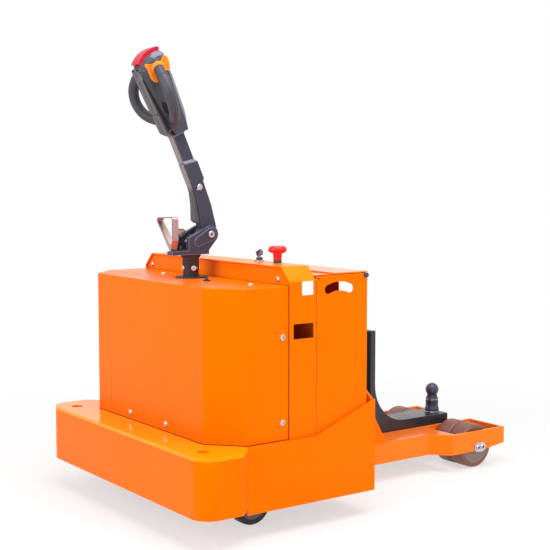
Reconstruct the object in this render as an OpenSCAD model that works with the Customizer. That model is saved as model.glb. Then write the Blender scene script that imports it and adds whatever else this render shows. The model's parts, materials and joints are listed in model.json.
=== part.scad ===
// Pedestrian baggage tug: a steered drive unit under a front hood, a battery
// housing behind it, two rear legs on twin rollers and a lifting tow ball.
// Lengths are in millimetres. X points to the front bumper, Y to the left
// side and Z up. The origin is on the floor, under the middle of the machine.

/* [Bumper] */
// Distance from the origin to the bumper's front face
bumper_front = 750; // [740:1:790]
// Width over the bumper
bumper_w = 1000; // [980:1:1080]
// Height of the bumper's lower edge
bumper_bottom = 98; // [85:1:120]
// Radius of the bumper's front corners
bumper_corner_r = 60; // [40:1:75]
// Length of the bumper's straight sides behind the corners
bumper_side = 81; // [60:1:90]
// Thickness of the bumper plate
bumper_wall = 20; // [12:1:25]
// Radius of the lifting holes in the top plate
lift_hole_r = 20; // [12:1:24]
// Distance from the bumper's front face to the lifting holes
lift_hole_back = 62; // [50:1:70]
// Distance from the bumper's side to the lifting holes
lift_hole_in = 89; // [70:1:95]

/* [Chassis] */
// How far the side plates stand in from the bumper's sides
side_in = 50; // [40:1:60]
// Thickness of the chassis plates
plate_t = 10; // [8:1:14]
// Height of the deck's top face
deck_top = 280; // [270:1:290]
// Height of the side plates' lower edge
side_bottom = 77; // [65:1:95]
// Rear edge of the side plates
side_rear = 69; // [55:1:80]
// Height of the side plates at their rear edge
side_rear_top = 371; // [340:1:400]
// Place where the side plates start to rise
side_rise = 308; // [250:1:360]
// Height of the rear bulkhead at its middle
bulkhead_top = 445; // [420:1:470]

/* [Legs] */
// Distance from the origin to the ends of the legs
leg_end = 750; // [735:1:790]
// Gap between the legs
leg_gap = 120; // [116:1:140]
// Outer width of one leg in front of the rollers
leg_w = 119; // [110:1:126]
// Outer width of one leg beside the rollers
pocket_w = 180; // [176:1:190]
// Height of the legs' lower edge
leg_bottom = 66; // [60:1:67]
// Height of the legs' top face
leg_top = 141; // [132:1:150]
// Thickness of the leg plates
leg_wall = 10; // [8:1:11]
// Start of the bend where a leg widens
leg_bend = 421; // [400:1:440]

/* [Rear rollers] */
// Radius of the rear rollers
roller_r = 80; // [78:0.5:82]
// Clearance between the rollers and the walls of their pocket
roller_play = 5; // [3:0.5:8]
// Gap between the two rollers of a pair
roller_gap = 4; // [2:0.5:8]
// Distance from the origin back to the roller axles
roller_x = 620; // [612:1:626]
// Radius of the roller axles
axle_r = 12.5; // [10:0.5:13]

/* [Hood] */
// Front face of the hood
hood_front = 641; // [620:1:660]
// Distance from the hood's side in to the edge of its flat front
hood_nose_in = 98; // [80:1:130]
// Length of the hood's slanted corners
hood_corner = 92; // [70:1:110]
// How far the hood stands in from the console's sides
hood_step = 4; // [2:0.5:8]
// Height of the hood's top
hood_top = 747; // [700:1:770]
// Thickness of the cover sheets
sheet_t = 3; // [2:0.5:4]
// How far the console and the battery housing stand in from the side plates
body_in = 13; // [11:0.5:16]
// Front edge of the console
console_front = 398; // [380:1:405]
// Rear edge of the console
console_rear = 297; // [285:1:310]
// Height of the console's top
console_top = 803; // [790:1:840]
// Size of the console's slanted top corners
console_bevel = 44; // [30:1:50]
// Depth of the panel that stands back in the console's front
console_recess = 10; // [6:1:20]
// Rear face of the battery housing
housing_rear = 95; // [90:1:110]
// Height of the battery housing
housing_top = 775; // [760:1:785]
// Thickness of the battery lid
lid_t = 4; // [3:0.5:5]
// Height of the battery block
battery_h = 340; // [250:1:380]

/* [Drive unit] */
// Place of the steering axis along X
steer_x = 476; // [460:1:490]
// Radius of the drive wheel
drive_r = 115; // [105:1:120]
// Width of the drive wheel
drive_w = 75; // [60:1:80]
// Radius of the steering column
column_r = 25.5; // [24:0.5:28]
// Radius of the drive motor
motor_r = 70; // [60:1:80]
// Height of the drive motor
motor_h = 220; // [180:1:260]

/* [Casters] */
// Radius of the caster wheels
caster_r = 65; // [60:1:70]
// Width of the caster wheels
caster_w = 48; // [40:1:54]
// Distance of the caster swivels in from the side plates
caster_in = 145; // [135:1:160]
// Place of the caster swivels along X
caster_x = 492; // [485:1:500]
// Distance from a caster's swivel back to its wheel
caster_trail = 36; // [30:1:42]

/* [Tow bracket] */
// Width of the tow bracket
bracket_w = 110; // [100:1:110]
// Height of the bracket's lower face
bracket_bottom = 136; // [130:1:142]
// Thickness of the bracket's flat limb
bracket_flat_t = 40; // [30:1:45]
// Rear end of the bracket's flat limb
bracket_end = 636; // [630:1:645]
// Thickness of the bracket's upright limb
bracket_up_t = 24; // [18:1:30]
// Rear face of the bracket's upright limb
bracket_up_x = 272; // [265:1:280]
// Height of the bracket's upright limb
bracket_top = 520; // [480:1:560]
// Radius of the hollow between the limbs
bracket_fillet = 145; // [90:1:160]
// Radius of the tow ball
ball_r = 25; // [20:0.5:28]
// Height of the ball's centre above the flat limb
ball_rise = 85; // [70:1:100]
// Place of the tow ball behind the origin
ball_x = 606; // [598:1:610]

/* [Tiller] */
// Place of the tiller's pivot along X
pivot_x = 424; // [420:1:430]
// Height of the tiller's pivot
pivot_z = 888; // [884:1:896]
// Radius of the pivot pin
pivot_r = 10; // [8:0.5:12]
// Length of the lower arm
arm_len = 232; // [222:1:245]
// Lean of the lower arm from upright
arm_lean = 15; // [12:1:18]
// Length of the upper tube
tube_len = 100; // [90:1:125]
// Lean of the upper tube and the head from upright
head_lean = 24; // [20:1:28]
// Length of the head
head_len = 275; // [265:1:290]
// How far the handle loops reach out from the head's middle
loop_reach = 121; // [112:1:130]
// Radius of the handle loops' tube
loop_r = 17; // [15:0.5:19]

/* [Hidden] */

$fn = 64;
// Small overlap that lets a cut pass through a face
cut = 1;
// Gap of a running fit, measured on the radius
run_gap = 0.05;
// Gap between faces that move past each other
slide_gap = 1.5;
// Gap between a soft or rolling face and what holds it
roll_gap = 0.3;

orange = "#FF7A0E";
black = "#33323A";
steel = "#9A9CA4";
silver = "#C9CBD2";
red = "#D8141C";
tread = "#8A5A4A";
rubber = "#1F1E22";
grey = "#5C5C66";

bumper_half = bumper_w / 2;
side_half = bumper_half - side_in;
body_half = side_half - body_in;
hood_half = body_half - hood_step;
caster_y = side_half - caster_in;
bumper_bend = bumper_front - bumper_corner_r - bumper_side;
bumper_rear = bumper_bend - side_in;
deck_bottom = deck_top - plate_t;
side_inner = side_half - plate_t;
leg_inner = leg_gap / 2;
leg_outer = leg_inner + leg_w;
pocket_outer = leg_inner + pocket_w;
leg_widen = pocket_outer - leg_outer;
bulkhead_front = side_rear + plate_t;

// A flat plate drawn in the XZ plane and given a thickness along Y.
module xz_plate(thick, y) {
    translate([0, y + thick, 0]) rotate([90, 0, 0]) linear_extrude(thick) children();
}

// A cylinder along Y, centred on y = mid.
module y_rod(x, z, r, length, mid = 0) {
    translate([x, mid + length / 2, z]) rotate([90, 0, 0]) cylinder(r = r, h = length);
}

// A copy on each side of the middle plane.
module both_sides() {
    children();
    mirror([0, 1, 0]) children();
}

// Plan of the bumper, drawn in by the given amount on every side.
module bumper_plan(inset = 0) {
    half = bumper_half - inset;
    front = bumper_front - inset;
    bend = bumper_bend + inset * (sqrt(2) - 1);
    rear_half = side_half - inset * sqrt(2);
    corner_x = bumper_front - bumper_corner_r;
    corner_y = bumper_half - bumper_corner_r;
    polygon([
        [bumper_rear, -rear_half], [bend, -half], [corner_x, -half], [front, -corner_y],
        [front, corner_y], [corner_x, half], [bend, half], [bumper_rear, rear_half]
    ]);
    for (side = [-1, 1])
        translate([corner_x, side * corner_y]) circle(r = bumper_corner_r - inset);
}

module front_bumper() {
    color(orange) difference() {
        translate([0, 0, bumper_bottom])
            linear_extrude(deck_bottom - bumper_bottom) bumper_plan();
        translate([0, 0, bumper_bottom - cut])
            linear_extrude(deck_bottom - bumper_bottom + 2 * cut) bumper_plan(bumper_wall);
        translate([bumper_rear - cut, -side_half + 2 * bumper_wall, bumper_bottom - cut])
            cube([2 * cut, 2 * side_half - 4 * bumper_wall, deck_bottom - bumper_bottom + 2 * cut]);
    }
}

module bumper_top() {
    color(orange) difference() {
        translate([0, 0, deck_bottom]) linear_extrude(plate_t) bumper_plan();
        for (side = [-1, 1])
            translate([bumper_front - lift_hole_back, side * (bumper_half - lift_hole_in), deck_bottom - cut])
                cylinder(r = lift_hole_r, h = plate_t + 2 * cut);
    }
}

// Radius of the drive unit's neck, which turns in the bearing ring
neck_r = 60;
// Thickness of the bearing ring under the deck
ring_t = 16;
// Outer radius of the bearing ring
ring_r = 105;

module deck_plate() {
    color(orange) difference() {
        translate([bulkhead_front, -side_inner, deck_bottom])
            cube([bumper_rear - bulkhead_front, 2 * side_inner, plate_t]);
        translate([steer_x, 0, deck_bottom - cut])
            cylinder(r = neck_r + 20, h = plate_t + 2 * cut);
    }
}

module bearing_ring() {
    color(steel) translate([steer_x, 0, deck_bottom - ring_t]) difference() {
        cylinder(r = ring_r, h = ring_t);
        translate([0, 0, -cut]) cylinder(r = neck_r + roll_gap, h = ring_t + 2 * cut);
    }
}

module side_plate() {
    color(orange) xz_plate(plate_t, side_inner)
        polygon([
            [side_rear, side_bottom], [bumper_rear, side_bottom], [bumper_rear, deck_top],
            [side_rise, deck_top], [side_rear, side_rear_top]
        ]);
}

module side_plate_left() { side_plate(); }
module side_plate_right() { mirror([0, 1, 0]) side_plate(); }

module rear_bulkhead() {
    shoulder = (bulkhead_top - side_rear_top) / 0.74;
    color(orange) translate([side_rear, 0, 0]) rotate([90, 0, 90]) linear_extrude(plate_t)
        polygon([
            [-side_inner, side_bottom], [side_inner, side_bottom], [side_inner, side_rear_top],
            [side_inner - shoulder, bulkhead_top], [shoulder - side_inner, bulkhead_top],
            [-side_inner, side_rear_top]
        ]);
}

// Where the pocket for the rollers starts
pocket_front = leg_bend + leg_widen + 18;
// Where the underside of a leg starts to rise
leg_rise_x = 640;
// Height of the leg end's lower edge
leg_end_bottom = 80;

module leg_plan() {
    polygon([
        [side_rear, leg_inner], [-leg_end, leg_inner], [-leg_end, pocket_outer],
        [-leg_bend - leg_widen, pocket_outer], [-leg_bend, leg_outer], [side_rear, leg_outer]
    ]);
}

module leg() {
    color(orange) difference() {
        translate([0, 0, leg_bottom]) linear_extrude(leg_top - leg_bottom) leg_plan();
        translate([-leg_end + leg_wall, leg_inner + leg_wall, leg_bottom - cut])
            cube([leg_end - leg_wall - pocket_front, pocket_w - 2 * leg_wall, leg_top - leg_bottom + 2 * cut]);
        translate([-leg_bend, leg_inner + leg_wall, leg_bottom + leg_wall])
            cube([leg_bend + side_rear + cut, leg_w - 2 * leg_wall, leg_top - leg_bottom - 2 * leg_wall]);
        xz_plate(pocket_w + 2 * cut, leg_inner - cut)
            polygon([
                [-leg_rise_x, leg_bottom], [-leg_end, leg_end_bottom],
                [-leg_end - cut, leg_end_bottom], [-leg_end - cut, leg_bottom - cut],
                [-leg_rise_x, leg_bottom - cut]
            ]);
        y_rod(-roller_x, roller_r, axle_r, pocket_w + 2 * cut, leg_inner + pocket_w / 2);
    }
}

module leg_left() { leg(); }
module leg_right() { mirror([0, 1, 0]) leg(); }

// Lower rear corner of a gusset, on the leg's top face
gusset_foot = 218;
// Rear edge of a gusset where it meets the height of the bulkhead's shoulder
gusset_head = 88;

module leg_gussets() {
    color(orange) both_sides() xz_plate(leg_wall, leg_outer - leg_wall)
        polygon([
            [side_rear, leg_top], [-gusset_foot, leg_top], [-gusset_head, side_rear_top],
            [side_rear, side_rear_top]
        ]);
}

// Depth of the mast's guide channels along X
rail_depth = 60;
// Width of one channel
rail_w = 26;
// Wall of the channels
rail_wall = 6;
rail_outer = 58;
bracket_up_front = bracket_up_x - bracket_up_t;
rail_rear = bracket_up_front - slide_gap;
rail_front = rail_rear - rail_depth;
// Height of the foot plate that carries the rails between the legs
mast_foot_t = 12;
mast_foot_z = leg_bottom + 10;
// How far the foot plate reaches out behind and in front of the rails
mast_foot_rear = 20;
mast_foot_front = 40;
mast_floor = mast_foot_z + mast_foot_t;

module mast_rails() {
    color(black) {
        both_sides() difference() {
            translate([-rail_rear, rail_outer - rail_w, mast_floor])
                cube([rail_depth, rail_w, bracket_top - mast_floor]);
            translate([-rail_rear + rail_wall, rail_outer - rail_w - cut, mast_floor - cut])
                cube([rail_depth - 2 * rail_wall, rail_w - rail_wall + cut, bracket_top]);
        }
        translate([-rail_rear - mast_foot_rear, -leg_inner, mast_foot_z])
            cube([rail_depth + mast_foot_rear + mast_foot_front, leg_gap, mast_foot_t]);
    }
}

// Half distance over the cheek plates that tie the mast to the bulkhead
cheek_outer = 50;
cheek_t = 8;

module mast_cheeks() {
    color(orange) both_sides() xz_plate(cheek_t, cheek_outer - cheek_t)
        polygon([
            [side_rear, mast_floor], [-rail_front, mast_floor], [-rail_front, bulkhead_top],
            [side_rear, bulkhead_top]
        ]);
}

// Plan of the hood, drawn in by the given amount.
module hood_plan(inset = 0) {
    half = hood_half - inset;
    slant = inset * 0.45;
    nose = hood_half - hood_nose_in;
    polygon([
        [console_front + 0.5, -half], [hood_front - hood_corner - slant, -half],
        [hood_front - inset, slant - nose], [hood_front - inset, nose - slant],
        [hood_front - hood_corner - slant, half], [console_front + 0.5, half]
    ]);
}

column_hole_r = column_r + 10;

module front_hood() {
    color(orange) difference() {
        translate([0, 0, deck_top]) linear_extrude(hood_top - deck_top) hood_plan();
        translate([-cut, 0, deck_top - cut])
            linear_extrude(hood_top - deck_top + cut - sheet_t) hood_plan(sheet_t);
        translate([steer_x, 0, hood_top - 2 * sheet_t])
            cylinder(r = column_hole_r, h = 4 * sheet_t);
    }
}

// Outline of the console seen from the front, drawn in by the given amount
// and reaching down by the given drop.
module console_outline(inset = 0, drop = 0) {
    half = body_half - inset;
    top = console_top - inset;
    bevel = console_bevel - inset * 0.6;
    polygon([
        [-half, deck_top - drop], [half, deck_top - drop], [half, top - bevel], [half - bevel, top],
        [bevel - half, top], [-half, top - bevel]
    ]);
}

console_len = console_front - console_rear;
// Side opening in the console, seen from the left
port_front = 383;
port_rear = 307;
port_bottom = 585;
port_top = 631;

module console_band() {
    color(orange) difference() {
        translate([console_rear, 0, 0]) rotate([90, 0, 90]) linear_extrude(console_len) console_outline();
        translate([console_rear - cut, 0, 0]) rotate([90, 0, 90])
            linear_extrude(console_len + 2 * cut) console_outline(sheet_t, cut);
        translate([port_rear, -body_half - cut, port_bottom])
            cube([port_front - port_rear, 2 * body_half + 2 * cut, port_top - port_bottom]);
    }
}

panel_x = console_front - console_recess;

module console_panel() {
    color(orange) difference() {
        translate([panel_x - sheet_t, 0, 0]) rotate([90, 0, 90])
            linear_extrude(sheet_t) console_outline(sheet_t);
        translate([panel_x - 2 * sheet_t, -body_half, deck_top - cut])
            cube([3 * sheet_t, 2 * body_half, hood_top - deck_top - 40]);
    }
}

// Middle of the curved hand slot in the housing's sides
slot_x = 208;
slot_z = 738;
slot_arc_r = 105;
slot_half_angle = 24;
slot_w = 28;

// Points on an arc about a centre; the angles run from upright towards +X.
function arc_points(centre, r, from, to, steps) = [
    for (i = [0 : steps]) let (a = from + (to - from) * i / steps) centre + r * [sin(a), cos(a)]
];

// The slot's shape in the XZ plane: a short arc with round ends.
module hand_slot() {
    middle = [slot_x, slot_z - slot_arc_r];
    reach = slot_arc_r * sin(slot_half_angle);
    rise = slot_arc_r * cos(slot_half_angle);
    outer = arc_points(middle, slot_arc_r + slot_w / 2, -slot_half_angle, slot_half_angle, 12);
    inner = arc_points(middle, slot_arc_r - slot_w / 2, slot_half_angle, -slot_half_angle, 12);
    front_end = arc_points(middle + [reach, rise], slot_w / 2, slot_half_angle + 15, slot_half_angle + 165, 10);
    rear_end = arc_points(middle + [-reach, rise], slot_w / 2, 195 - slot_half_angle, 345 - slot_half_angle, 10);
    polygon(concat(outer, front_end, inner, rear_end));
}

// Radius of the rounding at the rear ends of the housing's side walls
lid_round = 7;
lid_pin_x = housing_rear + lid_round;
lid_pin_z = housing_top - lid_round - 1;
lid_pin_r = 5;
// Inner edge of the openings at the rear panel's outer top corners
rear_notch_y = body_half - 140;
rear_notch_z = 650;

// Side view of the housing, rounded at its rear top corner so that the lid clears it.
module housing_profile() {
    polygon([
        [housing_rear, deck_top], [console_rear, deck_top], [console_rear, housing_top],
        [housing_rear + lid_round, housing_top], [housing_rear, housing_top - lid_round]
    ]);
    translate([housing_rear + lid_round, housing_top - lid_round]) circle(r = lid_round);
}

// Opening in the rear panel, seen from the front: it stays low at the two
// outer corners, so that light falls through there under the lid.
module rear_opening() {
    half = body_half - sheet_t;
    top = housing_top + cut;
    panel_top = housing_top - 20;
    polygon([
        [-half, rear_notch_z], [-rear_notch_y, rear_notch_z], [-rear_notch_y, panel_top],
        [rear_notch_y, panel_top], [rear_notch_y, rear_notch_z], [half, rear_notch_z],
        [half, top], [-half, top]
    ]);
}

module battery_housing() {
    depth = console_rear - housing_rear;
    height = housing_top - deck_top;
    color(orange) difference() {
        xz_plate(2 * body_half, -body_half) housing_profile();
        translate([housing_rear + sheet_t, -body_half + sheet_t, deck_top - cut])
            cube([depth - 2 * sheet_t, 2 * (body_half - sheet_t), height + 2 * cut]);
        xz_plate(2 * body_half + 2 * cut, -body_half - cut) hand_slot();
        y_rod(lid_pin_x, lid_pin_z, lid_pin_r + run_gap, 2 * body_half + 2 * cut);
        translate([housing_rear - cut, 0, 0]) rotate([90, 0, 90]) linear_extrude(sheet_t + 2 * cut) rear_opening();
        translate([console_rear - sheet_t - cut, -body_half + sheet_t, housing_top - 20])
            cube([sheet_t + 2 * cut, 2 * (body_half - sheet_t), height]);
    }
}

// Gap between the battery and its housing
battery_gap = 14;

module battery_block() {
    inner_depth = console_rear - housing_rear - 2 * sheet_t;
    color(grey) translate([housing_rear + sheet_t + battery_gap, battery_gap - rear_notch_y, deck_top])
        cube([inner_depth - 2 * battery_gap, 2 * (rear_notch_y - battery_gap), battery_h]);
}

lid_flange_h = 12;
lid_flange_gap = 2;
lid_half = body_half - sheet_t - lid_flange_gap;
lid_ear_r = 8;
// Front edge of the part of the lid that laps over the side walls
lid_lap_x = 226;

module battery_lid() {
    color(orange) difference() {
        union() {
            translate([housing_rear, -body_half, housing_top + roll_gap])
                cube([lid_lap_x - housing_rear, 2 * body_half, lid_t]);
            translate([housing_rear + sheet_t + 1, -lid_half, housing_top + roll_gap - lid_t])
                cube([console_rear - housing_rear - sheet_t - 2, 2 * lid_half, lid_t]);
            both_sides() translate([housing_rear + sheet_t + 1, lid_half - sheet_t, housing_top - lid_flange_h])
                cube([console_rear - housing_rear - sheet_t - 12, sheet_t, lid_flange_h - 1]);
            both_sides() y_rod(lid_pin_x, lid_pin_z, lid_ear_r, sheet_t, lid_half - sheet_t / 2);
        }
        y_rod(lid_pin_x, lid_pin_z, lid_pin_r + run_gap, 2 * body_half + 2 * cut);
    }
}

module lid_pins() {
    head_t = 6;
    inner_end = lid_half - 3 * sheet_t;
    color(black) both_sides() {
        y_rod(lid_pin_x, lid_pin_z, lid_pin_r, body_half - inner_end, (body_half + inner_end) / 2);
        y_rod(lid_pin_x, lid_pin_z, lid_pin_r + 3, head_t, body_half + head_t / 2);
    }
}

cylinder_r = 26;
rod_r = 12;
cylinder_x = rail_front - 45;
cylinder_base_h = 14;
cylinder_base = mast_floor + cylinder_base_h;
cylinder_top = 300;
// Length along X of the block that holds the cylinder's foot
cylinder_foot = 80;

module lift_cylinder() {
    color(black) translate([-cylinder_x, 0, 0]) difference() {
        union() {
            translate([0, 0, cylinder_base]) cylinder(r = cylinder_r, h = cylinder_top - cylinder_base);
            translate([-cylinder_foot / 2, cheek_t - cheek_outer, mast_floor])
                cube([cylinder_foot, 2 * (cheek_outer - cheek_t), cylinder_base_h]);
        }
        translate([0, 0, cylinder_base + 40]) cylinder(r = rod_r + run_gap, h = cylinder_top);
    }
}

stop_x = 318;
stop_y = body_half - 173;
key_y = body_half - 272;
stop_base_h = 10;

module stop_base() {
    color(black) translate([stop_x, stop_y, console_top]) cylinder(r = 17, h = stop_base_h);
}

module emergency_stop() {
    head_r = 29.5;
    head_h = 22;
    stem_h = 22;
    color(red) translate([stop_x, stop_y, console_top + stop_base_h]) rotate_extrude()
        union() {
            polygon([[0, 0], [13, 0], [15, stem_h], [0, stem_h]]);
            translate([0, stem_h]) square([head_r - head_h / 2, head_h]);
            translate([head_r - head_h / 2, stem_h + head_h / 2]) intersection() {
                circle(d = head_h);
                translate([0, -head_h]) square([head_h, 2 * head_h]);
            }
        }
}

module key_switch() {
    bow_r = 12;
    bow_t = 4;
    color(silver) translate([stop_x, key_y, console_top]) {
        cylinder(r = 13, h = 6);
        cylinder(r = 9, h = 14);
    }
    color(black) {
        translate([stop_x - bow_r / 2, key_y - bow_t / 2, console_top + 10]) cube([bow_r, bow_t, bow_r]);
        y_rod(stop_x, console_top + 18 + bow_r, bow_r, bow_t, key_y);
    }
}

flange_r = 49;
flange_h = 5;

module column_flange() {
    color(black) translate([steer_x, 0, hood_top]) difference() {
        cylinder(r = flange_r, h = flange_h);
        translate([0, 0, -cut]) cylinder(r = column_r + 2, h = flange_h + 2 * cut);
    }
}

plug_x = steer_x + 29;
plug_y = 142;

module hood_plug() {
    color(black) translate([plug_x, plug_y, hood_top]) {
        cylinder(r = 12, h = 4);
        cylinder(r1 = 8, r2 = 2, h = 18);
    }
}

drive_axis = drive_r;
// Height of the drive motor's foot
motor_bottom = deck_top + 6;
// Thickness of the drive unit's turning plate under the deck
turn_plate_t = 14;
turn_plate_r = 120;
drive_axle_r = 18;
// Thickness of the drive wheel's tyre
tyre_t = 22;

module drive_motor() {
    color(black) translate([steer_x, 0, motor_bottom]) cylinder(r = motor_r, h = motor_h);
}

// Height of the sleeve's lower edge over the hood
sleeve_rise = 24;
// Wall of the sleeve over the steering column
sleeve_t = 2;

module steering_column() {
    column_bottom = motor_bottom + motor_h;
    column_top = clevis_base - collar_h;
    sleeve_bottom = hood_top + sleeve_rise;
    color(black) translate([steer_x, 0, 0]) {
        translate([0, 0, column_bottom]) cylinder(r = column_r, h = column_top - column_bottom);
        translate([0, 0, sleeve_bottom]) cylinder(r = column_r + sleeve_t, h = column_top - sleeve_bottom);
    }
}

module drive_gearbox() {
    plate_z = deck_bottom - ring_t - roll_gap - turn_plate_t;
    case_t = 46;
    case_r = 55;
    case_y = drive_w / 2 + 6;
    color(grey) translate([steer_x, 0, 0]) {
        union() {
            translate([0, 0, plate_z]) cylinder(r = turn_plate_r, h = turn_plate_t);
            translate([0, 0, plate_z]) cylinder(r = neck_r, h = motor_bottom - plate_z);
            translate([-case_r, case_y, drive_axis]) cube([2 * case_r, case_t, plate_z - drive_axis]);
            y_rod(0, drive_axis, case_r, case_t, case_y + case_t / 2);
            y_rod(0, drive_axis, drive_axle_r, drive_w + 14, 1);
        }
    }
}

module drive_hub() {
    color(steel) translate([steer_x, 0, 0]) difference() {
        y_rod(0, drive_axis, drive_r - tyre_t, drive_w - 6);
        y_rod(0, drive_axis, drive_axle_r + run_gap, drive_w);
    }
}

module drive_tyre() {
    color(rubber) translate([steer_x, 0, 0]) difference() {
        y_rod(0, drive_axis, drive_r, drive_w);
        y_rod(0, drive_axis, drive_r - tyre_t, drive_w + 2 * cut);
    }
}

caster_head_z = 168;
caster_mount_half = 45;
caster_axle_r = 6;
// Radius and height of the caster's turning head
caster_head_r = 36;
caster_head_h = 18;

module caster_mounts() {
    color(orange) both_sides() translate([caster_x - caster_mount_half, caster_y - caster_mount_half, caster_head_z])
        cube([2 * caster_mount_half, 2 * caster_mount_half, deck_bottom - caster_head_z]);
}

module caster_fork() {
    cheek = 5;
    cheek_foot_r = 18;
    crown_t = 6;
    crown_half = 30;
    crown_z = caster_head_z - caster_head_h - crown_t;
    gap = caster_w / 2 + 4;
    color(silver) translate([caster_x, caster_y, 0]) {
        translate([0, 0, caster_head_z - caster_head_h - roll_gap]) cylinder(r = caster_head_r, h = caster_head_h);
        both_sides() xz_plate(cheek, gap) difference() {
            hull() {
                translate([-caster_trail, caster_r]) circle(r = cheek_foot_r);
                translate([4 - crown_half, crown_z - 2]) square([2 * crown_half - 8, crown_t + 2]);
            }
            translate([-caster_trail, caster_r]) circle(r = caster_axle_r);
        }
        translate([-crown_half, -gap - cheek, crown_z]) cube([2 * crown_half, 2 * (gap + cheek), crown_t]);
        y_rod(-caster_trail, caster_r, caster_axle_r, 2 * (gap + cheek) + 8);
    }
}

module caster_fork_left() { caster_fork(); }
module caster_fork_right() { mirror([0, 1, 0]) caster_fork(); }

module caster_wheel() {
    color(rubber) translate([caster_x - caster_trail, caster_y, 0]) difference() {
        y_rod(0, caster_r, caster_r, caster_w);
        y_rod(0, caster_r, caster_axle_r + run_gap, caster_w + 2 * cut);
    }
}

module caster_wheel_left() { caster_wheel(); }
module caster_wheel_right() { mirror([0, 1, 0]) caster_wheel(); }

pocket_mid = leg_inner + pocket_w / 2;
roller_w = (pocket_w - 2 * leg_wall - roller_gap) / 2 - roller_play;

module roller_pair() {
    color(tread) difference() {
        union() {
            for (side = [-1, 1])
                y_rod(-roller_x, roller_r, roller_r, roller_w, pocket_mid + side * (roller_w + roller_gap) / 2);
            y_rod(-roller_x, roller_r, 30, roller_gap + 2 * cut, pocket_mid);
        }
        y_rod(-roller_x, roller_r, axle_r + run_gap, pocket_w, pocket_mid);
    }
}

module rollers_left() { roller_pair(); }
module rollers_right() { mirror([0, 1, 0]) roller_pair(); }

module roller_axles() {
    color(steel) both_sides() y_rod(-roller_x, roller_r, axle_r, pocket_w, pocket_mid);
}

keeper_t = 4;
// Radius of a keeper plate's round ends and the distance between its bolts
keeper_r = 17;
keeper_pitch = 22;

module axle_keepers() {
    color(silver) both_sides() xz_plate(keeper_t, pocket_outer) hull()
        for (side = [-1, 1]) translate([-roller_x + side * keeper_pitch / 2, roller_r]) circle(r = keeper_r);
}

bracket_flat_top = bracket_bottom + bracket_flat_t;
bracket_half = bracket_w / 2;
tongue_front = bracket_up_front - rail_depth + rail_wall;
tongue_half = 8;
// Heights of the two guide shoes that slide in the mast's channels
shoe_zs = [bracket_flat_top + 34, bracket_top - 140];
shoe_h = 40;

module tow_bracket() {
    fillet_x = -bracket_up_x - bracket_fillet;
    fillet_z = bracket_flat_top + bracket_fillet;
    color(black) {
        xz_plate(bracket_w, -bracket_half) difference() {
            polygon([
                [-bracket_end, bracket_bottom], [-bracket_up_front, bracket_bottom],
                [-bracket_up_front, bracket_top], [-bracket_up_x, bracket_top],
                [-bracket_up_x, fillet_z], [fillet_x, fillet_z],
                [fillet_x, bracket_flat_top], [-bracket_end, bracket_flat_top]
            ]);
            translate([fillet_x, fillet_z]) circle(r = bracket_fillet);
        }
        translate([-bracket_up_front, -tongue_half, bracket_bottom + 20])
            cube([bracket_up_front - tongue_front, 2 * tongue_half, 260]);
        for (z = shoe_zs)
            translate([-rail_rear + rail_wall + slide_gap, -rail_outer + rail_wall + slide_gap, z - shoe_h / 2])
                cube([rail_depth - 2 * rail_wall - 2 * slide_gap, 2 * (rail_outer - rail_wall - slide_gap), shoe_h]);
    }
}

module tow_ball() {
    color(black) translate([-ball_x, 0, bracket_flat_top]) {
        rotate_extrude() polygon([
            [0, 0], [27, 0], [27, 12], [24, 22], [24, 40], [20, 44], [20, 48], [23, 52],
            [18, 66], [16, 72], [0, 72]
        ]);
        translate([0, 0, ball_rise]) sphere(r = ball_r);
    }
}

// Height of the rod's lower end above the cylinder's foot
rod_start = 60;
// Height and thickness of the lug that the rod lifts
rod_top = cylinder_top + 40;
rod_lug_h = 20;

module lift_rod() {
    color(silver) translate([-cylinder_x, 0, cylinder_base + rod_start])
        cylinder(r = rod_r, h = rod_top - cylinder_base - rod_start);
    color(black) translate([-tongue_front, -tongue_half, rod_top])
        cube([tongue_front - cylinder_x + rod_r, 2 * tongue_half, rod_lug_h]);
}

clevis_base = 824;
clevis_t = 13;
// Height of the flared collar between the column's sleeve and the clevis
collar_h = 14;
collar_r = 36;
ear_t = 14;
ear_inner = 28;
ear_outer = ear_inner + ear_t;
// Radius of the ears about the pivot
ear_r = 28;
// Thickness of the raised face on the ears
boss_t = 3;
// Rear edge of the clevis plate and front edge of the ears
clevis_rear = pivot_x + 7;
ear_front = steer_x + 32;
// Front edge of the clevis plate, where the pull loop stands
clevis_front = steer_x + 97;
// Where the clevis plate has narrowed to its tongue
tongue_x = ear_front + 40;
// Width of the pull loop's flat bar and its thickness
loop_bar_w = 22;
loop_bar_t = 4;

// Plan of the clevis plate; it narrows to a tongue that carries the pull loop.
module clevis_plan() {
    polygon([
        [clevis_rear, -ear_outer], [ear_front, -ear_outer], [tongue_x, 6],
        [clevis_front, 16], [clevis_front, ear_outer + 6], [tongue_x, ear_outer + 6],
        [ear_front, ear_outer], [clevis_rear, ear_outer]
    ]);
}

module tiller_clevis() {
    ear_foot = clevis_base + clevis_t;
    color(black) {
        translate([steer_x, 0, clevis_base - collar_h])
            cylinder(r1 = column_r + sleeve_t, r2 = collar_r, h = collar_h);
        translate([0, 0, clevis_base]) linear_extrude(clevis_t) clevis_plan();
        both_sides() xz_plate(ear_t, ear_inner) difference() {
            hull() {
                translate([pivot_x, pivot_z]) circle(r = ear_r);
                translate([clevis_rear, ear_foot]) square([ear_front - clevis_rear, 1]);
                translate([ear_front - 1, ear_foot]) square([1, 41]);
            }
            translate([pivot_x, pivot_z]) circle(r = pivot_r);
        }
        both_sides() xz_plate(boss_t, ear_outer) difference() {
            hull() {
                translate([pivot_x, pivot_z]) circle(r = ear_r - 7);
                translate([pivot_x + 50, pivot_z - 24]) circle(r = ear_r - 14);
            }
            translate([pivot_x, pivot_z]) circle(r = pivot_r);
        }
    }
}

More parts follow.
